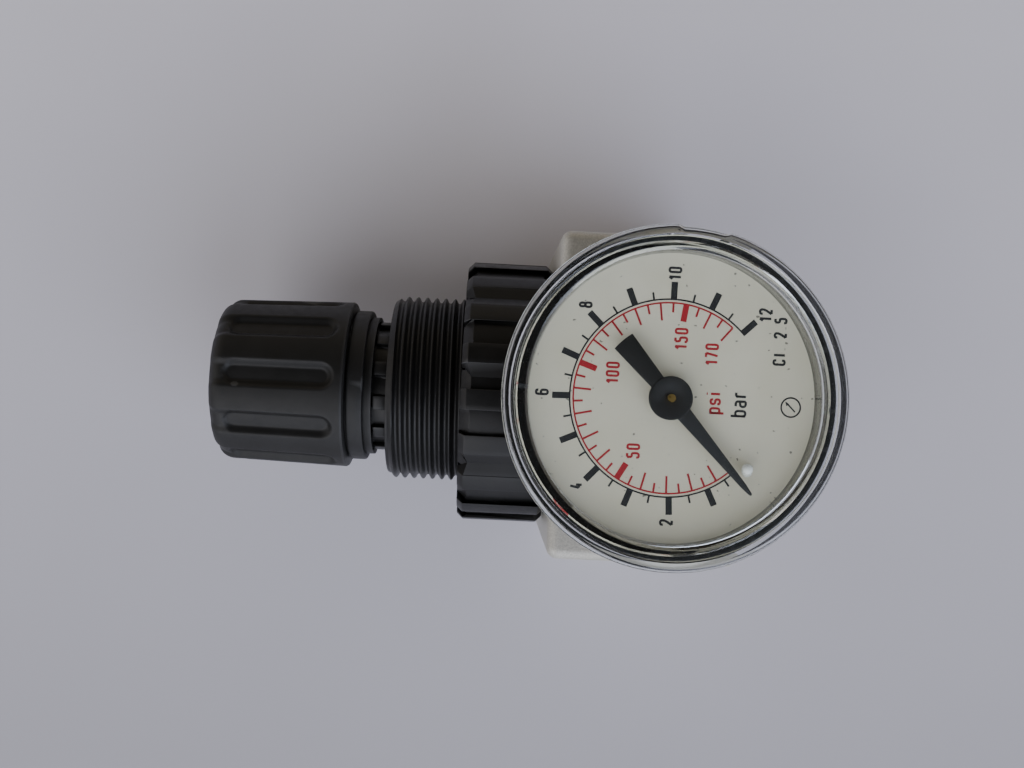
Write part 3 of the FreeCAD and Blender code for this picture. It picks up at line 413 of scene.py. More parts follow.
def natural_acetal():
    """Natural acetal, moulded: milky white and slightly see-through."""
    finish, tree = new_finish("natural_acetal_moulded")
    milk = ranged(tree, grain(tree, 0.8), 0.0, 1.0)
    surface = add(tree, "BsdfPrincipled", {
        "Base Color": between(tree, milk, linear("#dedfd8"), linear("#eeefe9")),
        "Roughness": ranged(tree, milk, 0.25, 0.35, 0.0, 1.0), "IOR": 1.48,
        "Subsurface Weight": 0.4, "Subsurface Radius": (0.001, 0.001, 0.001), "Subsurface Scale": 1.0})
    shown(tree, surface.outputs[0])
    return finish


def matt_paper():
    """Pale lavender-grey paper: uncoated, soft fibres, slightly cloudy, and paler towards +Y as painted light falling
    across the sheet.
    """
    finish, tree = new_finish("pale_uncoated_paper")
    fibres = grain(tree, 0.6, 4.0, (1, 0.6, 1))
    cloudy = ranged(tree, grain(tree, 60.0), 0.0, 1.0)
    place = add(tree, "SeparateXYZ", {"Vector": add(tree, "TexCoord").outputs["Object"]}).outputs["Y"]
    # painted light: the paper is made paler towards +Y, a painted fall of light across the sheet
    painted_light_towards_plus_y = ranged(tree, place, 0.0, 1.0, -0.07, 0.07)
    tone = between(tree, painted_light_towards_plus_y, linear("#bdbcc3"), linear("#eceaf2"))
    tone = between(tree, ranged(tree, cloudy, 0.0, 0.12, 0.0, 1.0), tone, linear("#a9a8ae"))
    surface = add(tree, "BsdfPrincipled", {
        "Base Color": tone, "Roughness": 0.85, "IOR": 1.45, "Normal": bumped(tree, fibres, 0.012)})
    shown(tree, surface.outputs[0])
    return finish


RING_PLASTIC = moulded_black("glass_filled_nylon_satin", "#131313", "#1a1a1a", 0.32, 0.42, 0.28, 0.01)
KNOB_PLASTIC = moulded_black("glass_filled_nylon_fine_grain", "#151514", "#1c1c1b", 0.44, 0.52, 0.22, 0.012)
CASE_PLASTIC = moulded_black("abs_moulded_semi_gloss", "#0e0f10", "#151617", 0.2, 0.3, 0.3, 0.004)
ENAMEL = painted_zinc()
BRASS = metal("free_cutting_brass_turned", "#b5974f", "#cfb06a", 0.22, 0.34, 0.15, (1, 1, 12))
STEEL = metal("zinc_plated_steel", "#9a9c9e", "#b5b7b9", 0.22, 0.36, 0.2, (8, 1, 1))
SPRING_STEEL = metal("spring_steel_drawn_wire", "#6e7073", "#8c8e90", 0.25, 0.38, 0.12, (1, 6, 6))
ALUMINIUM = metal("aluminium_turned", "#a8aaab", "#c3c4c5", 0.3, 0.42, 0.15, (1, 1, 10))
RUBBER = nitrile_rubber()
CLEAR = clear_window()
LACQUER = dial_enamel()
BLACK_INK = ink("black_screen_ink", "#17181a", "#202124")
RED_INK = ink("red_screen_ink", "#a50d1e", "#b31626")
POINTER_PAINT = ink("black_lacquer_on_aluminium", "#0b0b0c", "#101112")
ACETAL = natural_acetal()
PAPER = matt_paper()

FINISH_OF_SLOT = {
    "body_casting": ENAMEL, "black_plastic": RING_PLASTIC, "brass": BRASS, "steel": STEEL,
    "aluminium": ALUMINIUM, "rubber": RUBBER, "clear_plastic": CLEAR, "dial_white": LACQUER,
    "white_plastic": ACETAL}
for subpart in frame["record"]["subparts"]:
    data = frame["nodes"][subpart["node"]].data
    data.materials.clear()
    data.materials.append(FINISH_OF_SLOT[subpart["material_slot"]])


# ---------------------------------------------------------------- union ring, bonnet and knob


def make_union_ring():
    """Clamping ring with broad ribs that run out into a chamfer at both ends."""
    steps = 9 * RIBS
    chamfer = 0.9
    lip = -2
    section = [(RING_MOUTH, 0), (RING_VALLEY - RING_TAPER, 0), (RING_VALLEY, -RING_TAPER),
               (RING_VALLEY, RING_FOOT + RING_TAPER), (RING_VALLEY - RING_TAPER, RING_FOOT),
               (RING_BORE, RING_FOOT), (RING_BORE, lip), (RING_MOUTH, lip)]
    mesh = lathe(section, steps, closed=True)
    outside = [face for face in mesh.faces
               if radius_of(face.calc_center_median()) > RING_VALLEY - RING_TAPER
               and off_centre(face.calc_center_median(), RIBS) < RIB_HALF]
    for vert in verts_of(bmesh.ops.extrude_face_region(mesh, geom=outside)):
        at_end = vert.co.z > -THIN or vert.co.z < RING_FOOT + THIN
        set_radius(vert, RING_CREST - chamfer if at_end else RING_CREST)
        if not at_end:
            vert.co.z = -chamfer if vert.co.z > RING_FOOT / 2 else RING_FOOT + chamfer
    soften(mesh, 0.28, 3)
    bmesh.ops.rotate(mesh, verts=mesh.verts[:], cent=(0, 0, 0), matrix=Matrix.Rotation(RIB_PHASE, 3, "Z"))
    as_piece(mesh, "union_ring_moulding", RING_PLASTIC, REGULATOR, "housing", ["union_ring"],
             smooth=20)


def helical_thread(mesh, major, minor, pitch, low, high, steps):
    """One right-hand thread with rounded crests, squared off at both ends."""
    turns = math.ceil((high - low) / pitch) + 2
    depth = major - minor
    shape = [(0.0, 0.0), (0.08, 0.02), (0.18, 0.14), (0.36, 0.78), (0.44, 0.95), (0.52, 1.0), (0.6, 0.95),
             (0.68, 0.78), (0.86, 0.14), (0.94, 0.02), (1.0, 0.0)]
    points = [mesh.verts.new((minor + depth * rise, 0, low - pitch + pitch * along)) for along, rise in shape]
    edges = [mesh.edges.new(pair) for pair in zip(points, points[1:])]
    bmesh.ops.spin(mesh, geom=points + edges, axis=(0, 0, 1), cent=(0, 0, 0), angle=math.tau * turns,
                   dvec=(0, 0, pitch / steps), steps=steps * turns, use_merge=False)
    bmesh.ops.remove_doubles(mesh, verts=mesh.verts[:], dist=0.005)
    for height, above in ((low, False), (high, True)):
        everything = mesh.verts[:] + mesh.edges[:] + mesh.faces[:]
        bmesh.ops.bisect_plane(mesh, geom=everything, plane_co=(0, 0, height), plane_no=(0, 0, 1),
                               clear_outer=above, clear_inner=not above)


def make_bonnet():
    """Bonnet with the helical panel thread, the splined neck and the spring tube inside the knob."""
    steps = 120
    thread_foot = -0.6
    shoulder = 13.6
    flange, flange_top, flange_foot = 17.9, -2, -5
    spring_bore, bore_foot, bore_top = 8.2, 4.0, 25.5
    tube_top, screw_bore = 27.0, 4.15
    bead_top = 17.0
    bead_foot = 15.5
    mesh = bmesh.new()
    helical_thread(mesh, THREAD_MAJOR, THREAD_MINOR, THREAD_PITCH, thread_foot, THREAD_TOP, steps)
    for vert in mesh.verts:
        lead_in = THREAD_MAJOR - max(vert.co.z - (THREAD_TOP - 1.2), 0) * 0.75
        if radius_of(vert.co) > lead_in:
            set_radius(vert, lead_in)
    for height in (thread_foot, THREAD_TOP):
        run_rim(mesh, rim_at(mesh, height), shoulder)
    section = [(shoulder, thread_foot), (shoulder, flange_top), (flange, flange_top),
               (flange, flange_foot), (12.0, flange_foot), (12.0, 0.5), (spring_bore, bore_foot),
               (spring_bore, bore_top), (spring_bore, tube_top), (screw_bore, tube_top),
               (screw_bore, BONNET_TOP), (NECK_ROOT - 0.8, BONNET_TOP), (NECK_ROOT, BONNET_TOP - 0.8),
               (NECK_ROOT, bead_top), (10.1, bead_top), (10.4, bead_foot), (NECK_ROOT, bead_foot),
               (NECK_ROOT, NECK_TOP), (NECK_ROOT, THREAD_TOP + 0.25), (NECK_ROOT + 0.6, THREAD_TOP),
               (shoulder, THREAD_TOP)]
    core = bmesh.new()
    lathe(section, steps, mesh=core)
    half_step = math.pi / SPLINES
    raise_sectors(core, SPLINES, math.radians(6), NECK, THREAD_TOP + 0.3, NECK_TOP, NECK_ROOT, half_step)
    raise_sectors(core, 2, math.radians(9), 9.0, bore_foot, bore_top, spring_bore, math.pi / 2)
    soften(core, 0.15, 2, 30)
    shell = bpy.data.meshes.new("bonnet_core")
    core.to_mesh(shell)
    core.free()
    mesh.from_mesh(shell)
    bpy.data.meshes.remove(shell)
    for height in (thread_foot, THREAD_TOP):
        open_edges = [edge for edge in rim_at(mesh, height)
                      if all(abs(radius_of(vert.co) - shoulder) < 0.05 for vert in edge.verts)]
        bmesh.ops.bridge_loops(mesh, edges=open_edges)
    close_up(mesh)
    as_piece(mesh, "bonnet_moulding", RING_PLASTIC, REGULATOR, "housing", ["bonnet"])


def eased(share):
    """0 to 1 with a soft start and a soft end."""
    share = min(max(share, 0.0), 1.0)
    return share * share * (3 - 2 * share)


def flute_depth(arc, height):
    """Depth of a long round-ended trough with sloped walls and of the shallow notch beyond it."""
    low = FLUTE_LOW + FLUTE_HALF
    high = FLUTE_HIGH - FLUTE_HALF
    past_end = max(low - height, 0, height - high)
    trough = FLUTE_DEPTH * eased((FLUTE_HALF - math.hypot(arc, past_end)) / FLUTE_WALL)
    notch = FLUTE_NOTCH * eased((FLUTE_HALF - abs(arc)) / FLUTE_WALL) if height > high else 0
    return max(trough, notch)


def make_knob():
    """Knob with ten round-ended flutes, hollow over the bonnet's tube."""
    steps = 450
    rows = [KNOB_FOOT + 0.55 + 0.22 * k for k in range(17)]
    rows += [rows[-1] + 1.0 * k for k in range(1, 11)]
    rows += [rows[-1] + 0.24 * k for k in range(1, 100) if rows[-1] + 0.24 * k < KNOB_TOP - KNOB_FILLET - 0.1]
    wall_top = KNOB_TOP - KNOB_FILLET

    def wall(height):
        share = (height - KNOB_FOOT) / (wall_top - KNOB_FOOT)
        return KNOB_SKIRT + (KNOB_END - KNOB_SKIRT) * share

    skirt_bore = 11.2
    section = [(skirt_bore, KNOB_FOOT), (KNOB_SKIRT - 0.45, KNOB_FOOT), (KNOB_SKIRT - 0.15, KNOB_FOOT + 0.12),
               (KNOB_SKIRT, KNOB_FOOT + 0.4)]
    section += [(wall(height), height) for height in rows]
    for k in range(13):
        turn = math.radians(90 * k / 12)
        section.append((KNOB_END - KNOB_FILLET + KNOB_FILLET * math.cos(turn),
                        wall_top + KNOB_FILLET * math.sin(turn)))
    section += [(7.4, KNOB_TOP), (7.1, KNOB_TOP - 0.25), (0, KNOB_TOP - 0.25)]
    mesh = lathe(section, steps)
    for vert in mesh.verts:
        radius = radius_of(vert.co)
        if radius > KNOB_END - KNOB_FILLET and vert.co.z > KNOB_FOOT + 0.2:
            arc = off_centre(vert.co, FLUTES, FLUTE_PHASE) * radius
            fade = min(1.0, (radius - KNOB_END + KNOB_FILLET) / KNOB_FILLET * 2)
            set_radius(vert, radius - flute_depth(arc, vert.co.z) * fade)
    roof, boss, boss_foot, screw_bore, screw_end = 36.5, 6.5, 31.9, 4.15, 38.0
    hollow = [(skirt_bore, KNOB_FOOT), (skirt_bore, roof), (boss, roof), (boss, boss_foot),
              (screw_bore, boss_foot), (screw_bore, screw_end), (0, screw_end)]
    lathe(hollow, steps, mesh=mesh)
    as_piece(mesh, "knob_moulding", KNOB_PLASTIC, REGULATOR, "knob", ["knob"])


def make_lock_ring():
    """Toothed ring at the knob's foot, which drops into the neck's splines."""
    bore = 10.65
    skirt = 11.17
    brim = LOCK_RADIUS
    foot = LOCK_FOOT + 1.2
    top = LOCK_FOOT + 3.8
    sleeve_top = top + 2.6
    tooth_top = LOCK_FOOT + 1.4
    tooth_tip = 9.8
    section = [(bore, LOCK_FOOT), (skirt, LOCK_FOOT), (skirt, foot), (brim, foot), (brim, top), (skirt, top),
               (skirt, sleeve_top), (bore, sleeve_top), (bore, tooth_top)]
    mesh = lathe(section, 120, closed=True)
    raise_sectors(mesh, SPLINES, math.radians(6), tooth_tip, LOCK_FOOT, tooth_top, bore)
    soften(mesh, 0.35, 3, 30, lambda edge: radius_of(edge.verts[0].co) > brim - 0.1)
    as_piece(mesh, "lock_ring_moulding", KNOB_PLASTIC, REGULATOR, "knob", ["knob_lock_ring"])


# ---------------------------------------------------------------- gauge


def on_dial(radius, degrees, height=0.0):
    """A point of the gauge's face."""
    turn = math.radians(degrees)
    return Vector((radius * math.cos(turn), radius * math.sin(turn), height))


def make_gauge_case():
    """Case with its upright rim inside the window, and the small tabs that hold the dial."""
    rim = case_high.z
    shoulder = rim - 3.2
    floor_top = case_low.z + 1.8
    stem_bore, inside, ledge, rim_bore, rim_outside = 5.04, 18.0, 17.0, 18.4, 19.0
    section = [(stem_bore, case_low.z), (CASE, case_low.z), (CASE, shoulder), (rim_outside, shoulder),
               (rim_outside, rim), (rim_bore, rim), (rim_bore, dial_low.z), (ledge, dial_low.z),
               (ledge, dial_low.z - 1.2), (inside, dial_low.z - 2.2), (inside, floor_top),
               (stem_bore, floor_top)]
    mesh = lathe(section, 144, closed=True)
    soften(mesh, 0.7, 4, 30, lambda edge: edge.verts[0].co.z < case_low.z + 0.1
           and radius_of(edge.verts[0].co) > CASE - 1)
    soften(mesh, 0.12, 2, 30)
    for direction, width, reach in ((-1.8, 1.5, 0.3), (-12.8, 1.5, 0.3), (179.0, 2.7, 0.4),
                                    (190.1, 2.7, 0.4), (88.1, 0.6, 0.3)):
        place = (Matrix.Translation(on_dial(18.1, direction, DIAL + 0.05))
                 @ Matrix.Rotation(math.radians(direction), 4, "Z")
                 @ Matrix.Diagonal((reach, width / 2, 1, 1)))
        bmesh.ops.create_cone(mesh, cap_ends=True, segments=24, radius1=1.0, radius2=1.0, depth=0.08,
                              matrix=place)
    as_piece(mesh, "gauge_case_moulding", CASE_PLASTIC, GAUGE, "housing", ["gauge_case"])


def make_window():
    """Clear snap-on window: raised rim, outer skirt over the case, inner skirt down to the dial."""
    pane_back = FRONT - 1.5
    pane_front = FRONT - 0.35
    outer_skirt, inner_skirt = 19.1, 17.5
    section = [(0, pane_front), (16.5, pane_front), (16.7, pane_front), (17.05, FRONT - 0.3),
               (17.3, FRONT - 0.1), (inner_skirt, FRONT), (18.55, FRONT), (18.7, FRONT - 0.12),
               (18.85, FRONT)]
    corner = 0.75
    for k in range(7):
        turn = math.radians(90 - 15 * k)
        section.append((WINDOW - corner + corner * math.cos(turn), FRONT - corner + corner * math.sin(turn)))
    skirt_foot, groove_wall, groove_top, liner, liner_foot = 48.5, 51.5, 51.7, 18.25, 48.4
    section += [(WINDOW, 50.4), (WINDOW - 0.12, 50.2), (WINDOW - 0.12, skirt_foot), (outer_skirt, skirt_foot),
                (outer_skirt, groove_wall), (18.95, groove_top), (18.4, groove_top), (liner, groove_wall),
                (liner, liner_foot), (inner_skirt, liner_foot), (inner_skirt, pane_back - 0.5),
                (17.35, pane_back - 0.15), (17.0, pane_back), (16.8, pane_back), (0, pane_back)]
    mesh = lathe(section, 180)
    notch_middle = math.radians(-7.2)
    for vert in mesh.verts:
        in_notch = off_centre(vert.co, 1, notch_middle) < math.radians(8)
        if in_notch and radius_of(vert.co) > 19.2:
            set_radius(vert, radius_of(vert.co) - 0.3)
    as_piece(mesh, "window_moulding", CLEAR, GAUGE, "housing", ["gauge_window"], smooth=30)


def make_pointer():
    """Stamped pointer with a flared tail, and the round hub pressed on the arbor."""
    sheet = 0.4
    tail_half = math.degrees(math.asin(1.375 / POINTER_TAIL))
    hub_half = math.degrees(math.asin(0.93 / POINTER_HUB))
    outline = [on_dial(POINTER_TAIL, 180 + tail_half * share) for share in (-1, -0.5, 0, 0.5, 1)]
    arc = [180 + hub_half + (180 - 2 * hub_half) * k / 20 for k in range(21)]
    outline += [on_dial(POINTER_HUB, degrees) for degrees in arc]
    outline += [Vector((POINTER_TIP - along, side, 0)) for along, side in
                ((1.4, -0.34), (0.12, -0.17), (0, -0.06), (0, 0.06), (0.12, 0.17), (1.4, 0.34))]
    outline += [on_dial(POINTER_HUB, degrees - 180) for degrees in arc]
    mesh = bmesh.new()
    face = mesh.faces.new([mesh.verts.new(point) for point in outline])
    top = bmesh.ops.extrude_face_region(mesh, geom=[face], use_keep_orig=True)
    bmesh.ops.translate(mesh, verts=verts_of(top), vec=(0, 0, sheet))
    bmesh.ops.recalc_face_normals(mesh, faces=mesh.faces[:])
    soften(mesh, 0.05, 2, 50)
    bmesh.ops.translate(mesh, verts=mesh.verts[:], vec=(0, 0, pointer_low.z + 0.45))
    foot = pointer_low.z
    bore = 0.49
    hub = [(bore, foot), (POINTER_HUB - 0.6, foot), (POINTER_HUB - 0.1, foot + 0.4),
           (POINTER_HUB, foot + 0.5), (POINTER_HUB, foot + 0.88), (POINTER_HUB - 0.12, foot + 1.0),
           (0.75, foot + 1.0), (bore, foot + 0.85)]
    lathe(hub, 64, closed=True, mesh=mesh)
    bmesh.ops.rotate(mesh, verts=mesh.verts[:], cent=(0, 0, 0), matrix=Matrix.Rotation(POINTER_REST, 3, "Z"))
    as_piece(mesh, "pointer_plate", POINTER_PAINT, GAUGE, "pinion", ["pointer"], smooth=40)


def make_stop_pin():
    """Moulded peg with a rounded top, where the pointer comes to rest."""
    across = (pin_high.y - pin_low.y) / 2
    height = pin_high.z - DIAL
    dome = [(across * math.cos(math.radians(a)), height - across + across * math.sin(math.radians(a)))
            for a in (0, 20, 40, 60, 75, 90)]
    mesh = lathe([(0, -0.3), (across, -0.3)] + dome[:-1] + [(0, height)], 32)
    bmesh.ops.translate(mesh, verts=mesh.verts[:], vec=(0, 0, -height / 2))
    middle = (pin_low + pin_high) / 2 * MM
    lean = Vector((middle.y, GAUGE_X * MM - middle.x, 0)).normalized()
    place = Matrix.Translation(middle) @ Matrix.Rotation(math.radians(16), 4, lean)
    as_piece(mesh, "stop_peg", ACETAL, place, "housing", ["stop_pin"])


# ---------------------------------------------------------------- dial print

# strokes of each sign: corners across 0 to 1 and up 0 to 1, and whether the stroke closes
LOWER = 0.68
STROKES = {
    "0": [([(0, 0), (0, 1), (1, 1), (1, 0)], True)],
    "1": [([(0.1, 0.72), (0.62, 1)], False), ([(0.62, 1.0), (0.62, 0)], False)],
    "2": [([(0, 0.76), (0, 1), (1, 1), (1, 0.6), (0.0, 0.0)], False), ([(0, 0), (1, 0)], False)],
    "4": [([(0.42, 1), (0, 0.24)], False), ([(0, 0.24), (1, 0.24)], False),
          ([(0.72, 0.5), (0.72, 0)], False)],
    "5": [([(0.95, 1), (0.08, 1)], False),
          ([(0.08, 1), (0.08, 0.58), (1, 0.62), (1, 0), (0, 0), (0, 0.22)], False)],
    "6": [([(0.95, 0.8), (0.95, 1), (0, 1), (0, 0.3)], False),
          ([(0, 0), (0, 0.58), (1, 0.58), (1, 0)], True)],
    "7": [([(0, 1), (1, 1)], False), ([(1, 1), (0.35, 0)], False)],
    "8": [([(0, 0), (0, 0.53), (1, 0.53), (1, 0)], True),
          ([(0.07, 0.53), (0.07, 1), (0.93, 1), (0.93, 0.53)], True)],
    "p": [([(0, LOWER), (0, -0.32)], False), ([(0, 0), (0, LOWER), (1, LOWER), (1, 0)], True)],
    "s": [([(0.95, 0.5), (0.95, LOWER), (0, LOWER), (0, 0.34), (1, 0.34), (1, 0), (0, 0), (0, 0.18)], False)],
    "i": [([(0.5, 0), (0.5, LOWER)], False), ([(0.5, 0.92), (0.5, 1.0)], False)],
    "b": [([(0, 1), (0, 0)], False), ([(0, 0), (0, LOWER), (1, LOWER), (1, 0)], True)],
    "a": [([(0.05, LOWER), (1, LOWER), (1, 0)], False), ([(1, 0.38), (0, 0.38), (0, 0), (1, 0)], False)],
    "r": [([(0.1, 0), (0.1, LOWER)], False), ([(0.1, 0.4), (0.1, LOWER), (0.85, LOWER)], False)],
    "C": [([(1, 0.76), (1, 1), (0, 1), (0, 0), (1, 0), (1, 0.24)], False)],
    "l": [([(0.5, 1), (0.5, 0)], False)],
    ".": [([(0.5, 0), (0.5, 0.04)], False)],
    " ": []}
NARROW = "il. 1"


def rounded_path(corners, radius, closed):
    """The same path with a short curve in place of each corner."""
    count = len(corners)
    path = []
    for index, corner in enumerate(corners):
        before = corners[index - 1]
        after = corners[(index + 1) % count]
        if not closed and index in (0, count - 1):
            path.append(corner)
            continue
        start = corner + (before - corner) * min(0.5, radius / (before - corner).length)
        end = corner + (after - corner) * min(0.5, radius / (after - corner).length)
        for share in (0, 0.25, 0.5, 0.75, 1):
            path.append(start.lerp(corner, share).lerp(corner.lerp(end, share), share))
    return path


def write(curve, text, centre, height, stroke):
    """Add a word's strokes to a curve, upright and centred on a point."""
    across = height * 0.3
    up = height - stroke
    advance = [across * (0.45 if sign in NARROW else 1) + stroke * 1.75 for sign in text]
    left = centre[0] - (sum(advance) - stroke * 0.75) / 2
    for sign, step in zip(text, advance):
        shift = -across * 0.275 if sign in NARROW else 0
        for corners, closed in STROKES[sign]:
            points = [Vector((left + stroke / 2 + shift + x * across, centre[1] - up / 2 + y * up, 0))
                      for x, y in corners]
            path = rounded_path(points, height * 0.16, closed)
            spline = curve.splines.new("POLY")
            spline.points.add(len(path) - 1)
            for point, place in zip(spline.points, path):
                point.co = (*place, 1)
            spline.use_cyclic_u = closed
        left += step


def lettering(mesh, words, stroke):
    """Words as flat printed strokes on the dial."""
    curve = bpy.data.curves.new("lettering", "CURVE")
    curve.dimensions = "3D"
    curve.bevel_depth = stroke / 2
    curve.bevel_resolution = 1
    curve.use_fill_caps = True
    for text, centre, height in words:
        write(curve, text, centre, height, stroke)
    holder = bpy.data.objects.new("lettering", curve)
    bpy.context.scene.collection.objects.link(holder)
    bpy.context.view_layer.update()
    flat = bpy.data.meshes.new_from_object(holder.evaluated_get(bpy.context.evaluated_depsgraph_get()))
    flatten = Matrix.Diagonal((1, 1, INK / stroke * 1.4, 1))
    flat.transform(Matrix.Translation((0, 0, DIAL + INK / 2)) @ flatten)
    mesh.from_mesh(flat)
    bpy.data.objects.remove(holder)
    bpy.data.meshes.remove(flat)
    bpy.data.curves.remove(curve)


def band(mesh, radius, width, start, end, centre=(0, 0)):
    """A printed arc."""
    low, high = DIAL, DIAL + INK
    corners = [(radius - width / 2, low), (radius + width / 2, low), (radius + width / 2, high),
               (radius - width / 2, high)]
    first = math.radians(start)
    points = [mesh.verts.new((r * math.cos(first) + centre[0], r * math.sin(first) + centre[1], z))
              for r, z in corners]
    edges = [mesh.edges.new(pair) for pair in zip(points, points[1:] + points[:1])]
    sweep = math.radians(end - start)
    whole = abs(abs(sweep) - math.tau) < 0.01
    bmesh.ops.spin(mesh, geom=points + edges, axis=(0, 0, 1), cent=(*centre, 0), angle=sweep,
                   steps=max(12, int(abs(end - start))), use_merge=whole)


def tick(mesh, degrees, inner, outer, width):
    """A printed mark across the scale."""
    place = (Matrix.Rotation(math.radians(degrees), 4, "Z")
             @ Matrix.Translation(((inner + outer) / 2, 0, DIAL + INK / 2))
             @ Matrix.Diagonal((outer - inner, width, INK, 1)))
    bmesh.ops.create_cube(mesh, size=1.0, matrix=place)


def bar_angle(bar):
    return SCALE_START - DEGREES_PER_BAR * bar


def psi_angle(psi):
    return bar_angle(psi / PSI_PER_BAR)


def make_bar_scale():
    """Black scale in bar: arc, marks outside it, numbers, unit, class and a gauge pictogram."""
    mesh = bmesh.new()
    band(mesh, BAR_ARC, ARC_LINE, math.degrees(POINTER_REST), bar_angle(FULL_BAR))
    for half in range(1, 2 * FULL_BAR + 1):
        if half % 2:
            tick(mesh, bar_angle(half / 2), BAR_ARC, BAR_ARC + 0.95, 0.24)
        else:
            tick(mesh, bar_angle(half / 2), BAR_ARC - ARC_LINE / 2, BAR_ARC + 2.1, 0.77)
    symbol = (-0.4, -14.7)
    band(mesh, 1.15, 0.2, 0, 360, symbol)
    close_up(mesh)
    words = [("2", (-14.84, -0.4), FIGURES), ("4", (-10.94, 10.55), FIGURES), ("6", (0, 15.15), FIGURES),
             ("8", (10.65, 10.43), FIGURES), ("10", (14.97, -0.1), FIGURES), ("12", (10.53, -11.18), FIGURES),
             ("bar", (-0.3, -8.4), 2.05), ("Cl. 2.5", (7.4, -13.05), 1.62)]
    lettering(mesh, words, 0.3)
    make_symbol_needle(mesh, symbol)
    as_piece(mesh, "bar_scale_print", BLACK_INK, GAUGE, "housing")


def make_symbol_needle(mesh, centre):
    """The slanted arrow and the stem of the gauge pictogram."""
    slant = Matrix.Translation((*centre, DIAL + INK / 2)) @ Matrix.Rotation(math.radians(45), 4, "Z")
    bmesh.ops.create_cube(mesh, size=1.0, matrix=slant @ Matrix.Diagonal((1.5, 0.18, INK, 1)))
    head = slant @ Matrix.Translation((0.7, 0, 0)) @ Matrix.Rotation(math.pi / 2, 4, "Y")
    bmesh.ops.create_cone(mesh, cap_ends=True, segments=3, radius1=0.3, radius2=0.02, depth=0.5,
                          matrix=head @ Matrix.Diagonal((INK, 1, 1, 1)))


def make_psi_scale():
    """Red scale in psi: arc, marks inside it, numbers and unit."""
    mesh = bmesh.new()
    band(mesh, PSI_ARC, ARC_LINE, math.degrees(POINTER_REST), psi_angle(FULL_PSI))
    long, short = 2.1, 1.15
    for psi in range(10, FULL_PSI + 1, 5):
        length = short if psi % 10 else long
        width = 0.25 if psi % 50 else 0.72
        tick(mesh, psi_angle(psi), PSI_ARC - length, PSI_ARC, width)
    close_up(mesh)
    words = [("50", (-6.51, 3.93), FIGURES), ("100", (2.74, 6.83), FIGURES), ("150", (7.19, -1.19), FIGURES),
             ("170", (5.51, -4.94), FIGURES), ("psi", (-0.31, -5.35), 1.9)]
    lettering(mesh, words, 0.29)
    as_piece(mesh, "psi_scale_print", RED_INK, GAUGE, "housing")


# ---------------------------------------------------------------- springs and pressure element


def coil(radius, wire, low, high, turns, steps=40):
    """A round-wire spring between two heights, capped at both ends."""
    mesh = bmesh.new()
    rise = high - low - 2 * wire
    place = Matrix.Translation((radius, 0, low + wire)) @ Matrix.Rotation(math.pi / 2, 4, "X")
    bmesh.ops.create_circle(mesh, cap_ends=False, segments=16, radius=wire, matrix=place)
    bmesh.ops.spin(mesh, geom=mesh.verts[:] + mesh.edges[:], axis=(0, 0, 1), cent=(0, 0, 0),
                   angle=math.tau * turns, dvec=(0, 0, rise / (steps * turns)), steps=steps * turns)
    return close_up(mesh)


def make_springs():
    """The set spring in the bonnet and the small spring under the poppet."""
    seat = -plate_low.x
    top = 21.5
    main = as_piece(coil(7.0, 0.8, seat, top, 7), "main_spring_coil", SPRING_STEEL, REGULATOR,
                    "housing", ["main_spring"])
    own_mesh(main)
    foot = -poppet_high.x
    head = foot + 6.5
    small = as_piece(coil(4.6, 0.35, foot, head, 4), "poppet_spring_coil", SPRING_STEEL, REGULATOR,
                     "housing", ["poppet_spring"])
    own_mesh(small)


def make_bourdon_tube():
    """Flattened C-shaped tube."""
    radius, start, sweep = 14.5, -15.0, 255.0
    middle = (tube_low.z + tube_high.z) / 2
    half = (tube_high.z - tube_low.z) / 2
    mesh = bmesh.new()
    place = (Matrix.Rotation(math.radians(start), 4, "Z") @ Matrix.Translation((radius, 0, middle))
             @ Matrix.Rotation(math.pi / 2, 4, "X") @ Matrix.Diagonal((1.0, half, 1, 1)))
    bmesh.ops.create_circle(mesh, cap_ends=False, segments=24, radius=1.0, matrix=place)
    bmesh.ops.spin(mesh, geom=mesh.verts[:] + mesh.edges[:], axis=(0, 0, 1), cent=(0, 0, 0),
                   angle=math.radians(sweep), steps=96)
    close_up(mesh)
    tube = as_piece(mesh, "bourdon_tube_drawn", BRASS, GAUGE, None, ["bourdon_tube"])
    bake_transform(tube)


# ---------------------------------------------------------------- build

make_union_ring()
make_bonnet()
make_knob()
make_lock_ring()
make_gauge_case()
make_window()
make_pointer()
make_stop_pin()
make_bar_scale()
make_psi_scale()
make_springs()
make_bourdon_tube()

for name in ("movement_screws", "case_screws", "link_pin"):
    frame["nodes"][name].data.materials[0] = STEEL
frame["nodes"]["bottom_plug"].data.materials[0] = KNOB_PLASTIC


# ---------------------------------------------------------------- floor, lights and camera


def make_floor():
    """A sheet of pale paper under the part."""
    mesh = bmesh.new()
    bmesh.ops.create_grid(mesh, x_segments=8, y_segments=8, size=2000,
                          matrix=Matrix.Translation((0, 0, casting_low.z)))
    mesh.transform(Matrix.Scale(MM, 4))
    data = bpy.data.meshes.new("paper_floor")
    mesh.to_mesh(data)
    mesh.free()
    data.materials.append(PAPER)
    floor = bpy.data.objects.new("paper_floor", data)
    bpy.context.scene.collection.objects.link(floor)


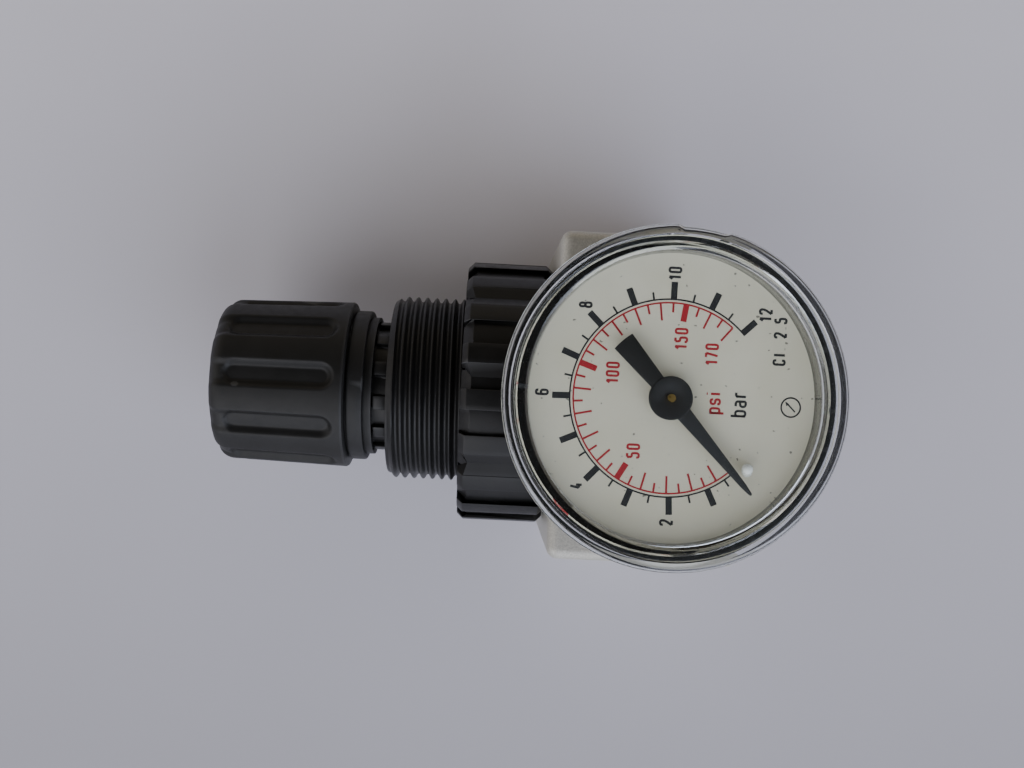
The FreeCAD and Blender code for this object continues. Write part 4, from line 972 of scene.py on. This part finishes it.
def soft_light(name, place, aim, size, power, colour):
    """A large soft box that points at a spot."""
    lamp = bpy.data.lights.new(name, "AREA")
    lamp.shape = "DISK"
    lamp.size = size
    lamp.energy = power
    lamp.color = linear(colour)[:3]
    holder = bpy.data.objects.new(name, lamp)
    holder.location = place
    holder.rotation_mode = "QUATERNION"
    holder.rotation_quaternion = (Vector(aim) - Vector(place)).to_track_quat("-Z", "Y")
    bpy.context.scene.collection.objects.link(holder)


def make_lights():
    """Two large soft windows on the -Y side, and a room that is bright low down and dark overhead."""
    middle = (0.01, 0, 0)
    horizon, zenith = 1.9, 0.1
    soft_light("window_right", (0.42, -0.5, 0.5), middle, 0.8, 3.6, "#e3eaff")
    soft_light("window_left", (-0.35, -0.45, 0.55), middle, 0.7, 2.3, "#f5f3f6")
    world = bpy.data.worlds.new("room")
    world.use_nodes = True
    tree = world.node_tree
    tree.nodes.clear()
    way = add(tree, "TexCoord").outputs["Generated"]
    up = add(tree, "SeparateXYZ", {"Vector": way}).outputs["Z"]
    across = add(tree, "SeparateXYZ", {"Vector": way}).outputs["Y"]
    walls = ranged(tree, up, horizon, zenith, 0.2, 0.85)
    away = ranged(tree, across, 0.0, 1.0, -0.6, 0.6)
    share = ranged(tree, away, 1.0, 0.35, 0.0, 1.0)
    glow = add(tree, "Math", {0: walls, 1: share}, operation="MULTIPLY").outputs[0]
    tone = between(tree, away, linear("#eceffb"), linear("#f6e9d6"))
    room = add(tree, "Background", {"Color": tone, "Strength": glow})
    add(tree, "OutputWorld", {"Surface": room.outputs[0]})
    bpy.context.scene.world = world


def make_camera():
    """Close above the part, looking straight down, slightly turned."""
    lens = bpy.data.cameras.new("camera")
    lens.lens = 37.3
    lens.sensor_width = 36.0
    lens.clip_start = 0.01
    camera = bpy.data.objects.new("camera", lens)
    camera.location = (0.00445, -0.0009, 0.175)
    camera.rotation_euler = (math.radians(0.69), math.radians(-1.17), math.radians(2.85))
    bpy.context.scene.collection.objects.link(camera)
    bpy.context.scene.camera = camera


make_floor()
make_lights()
make_camera()
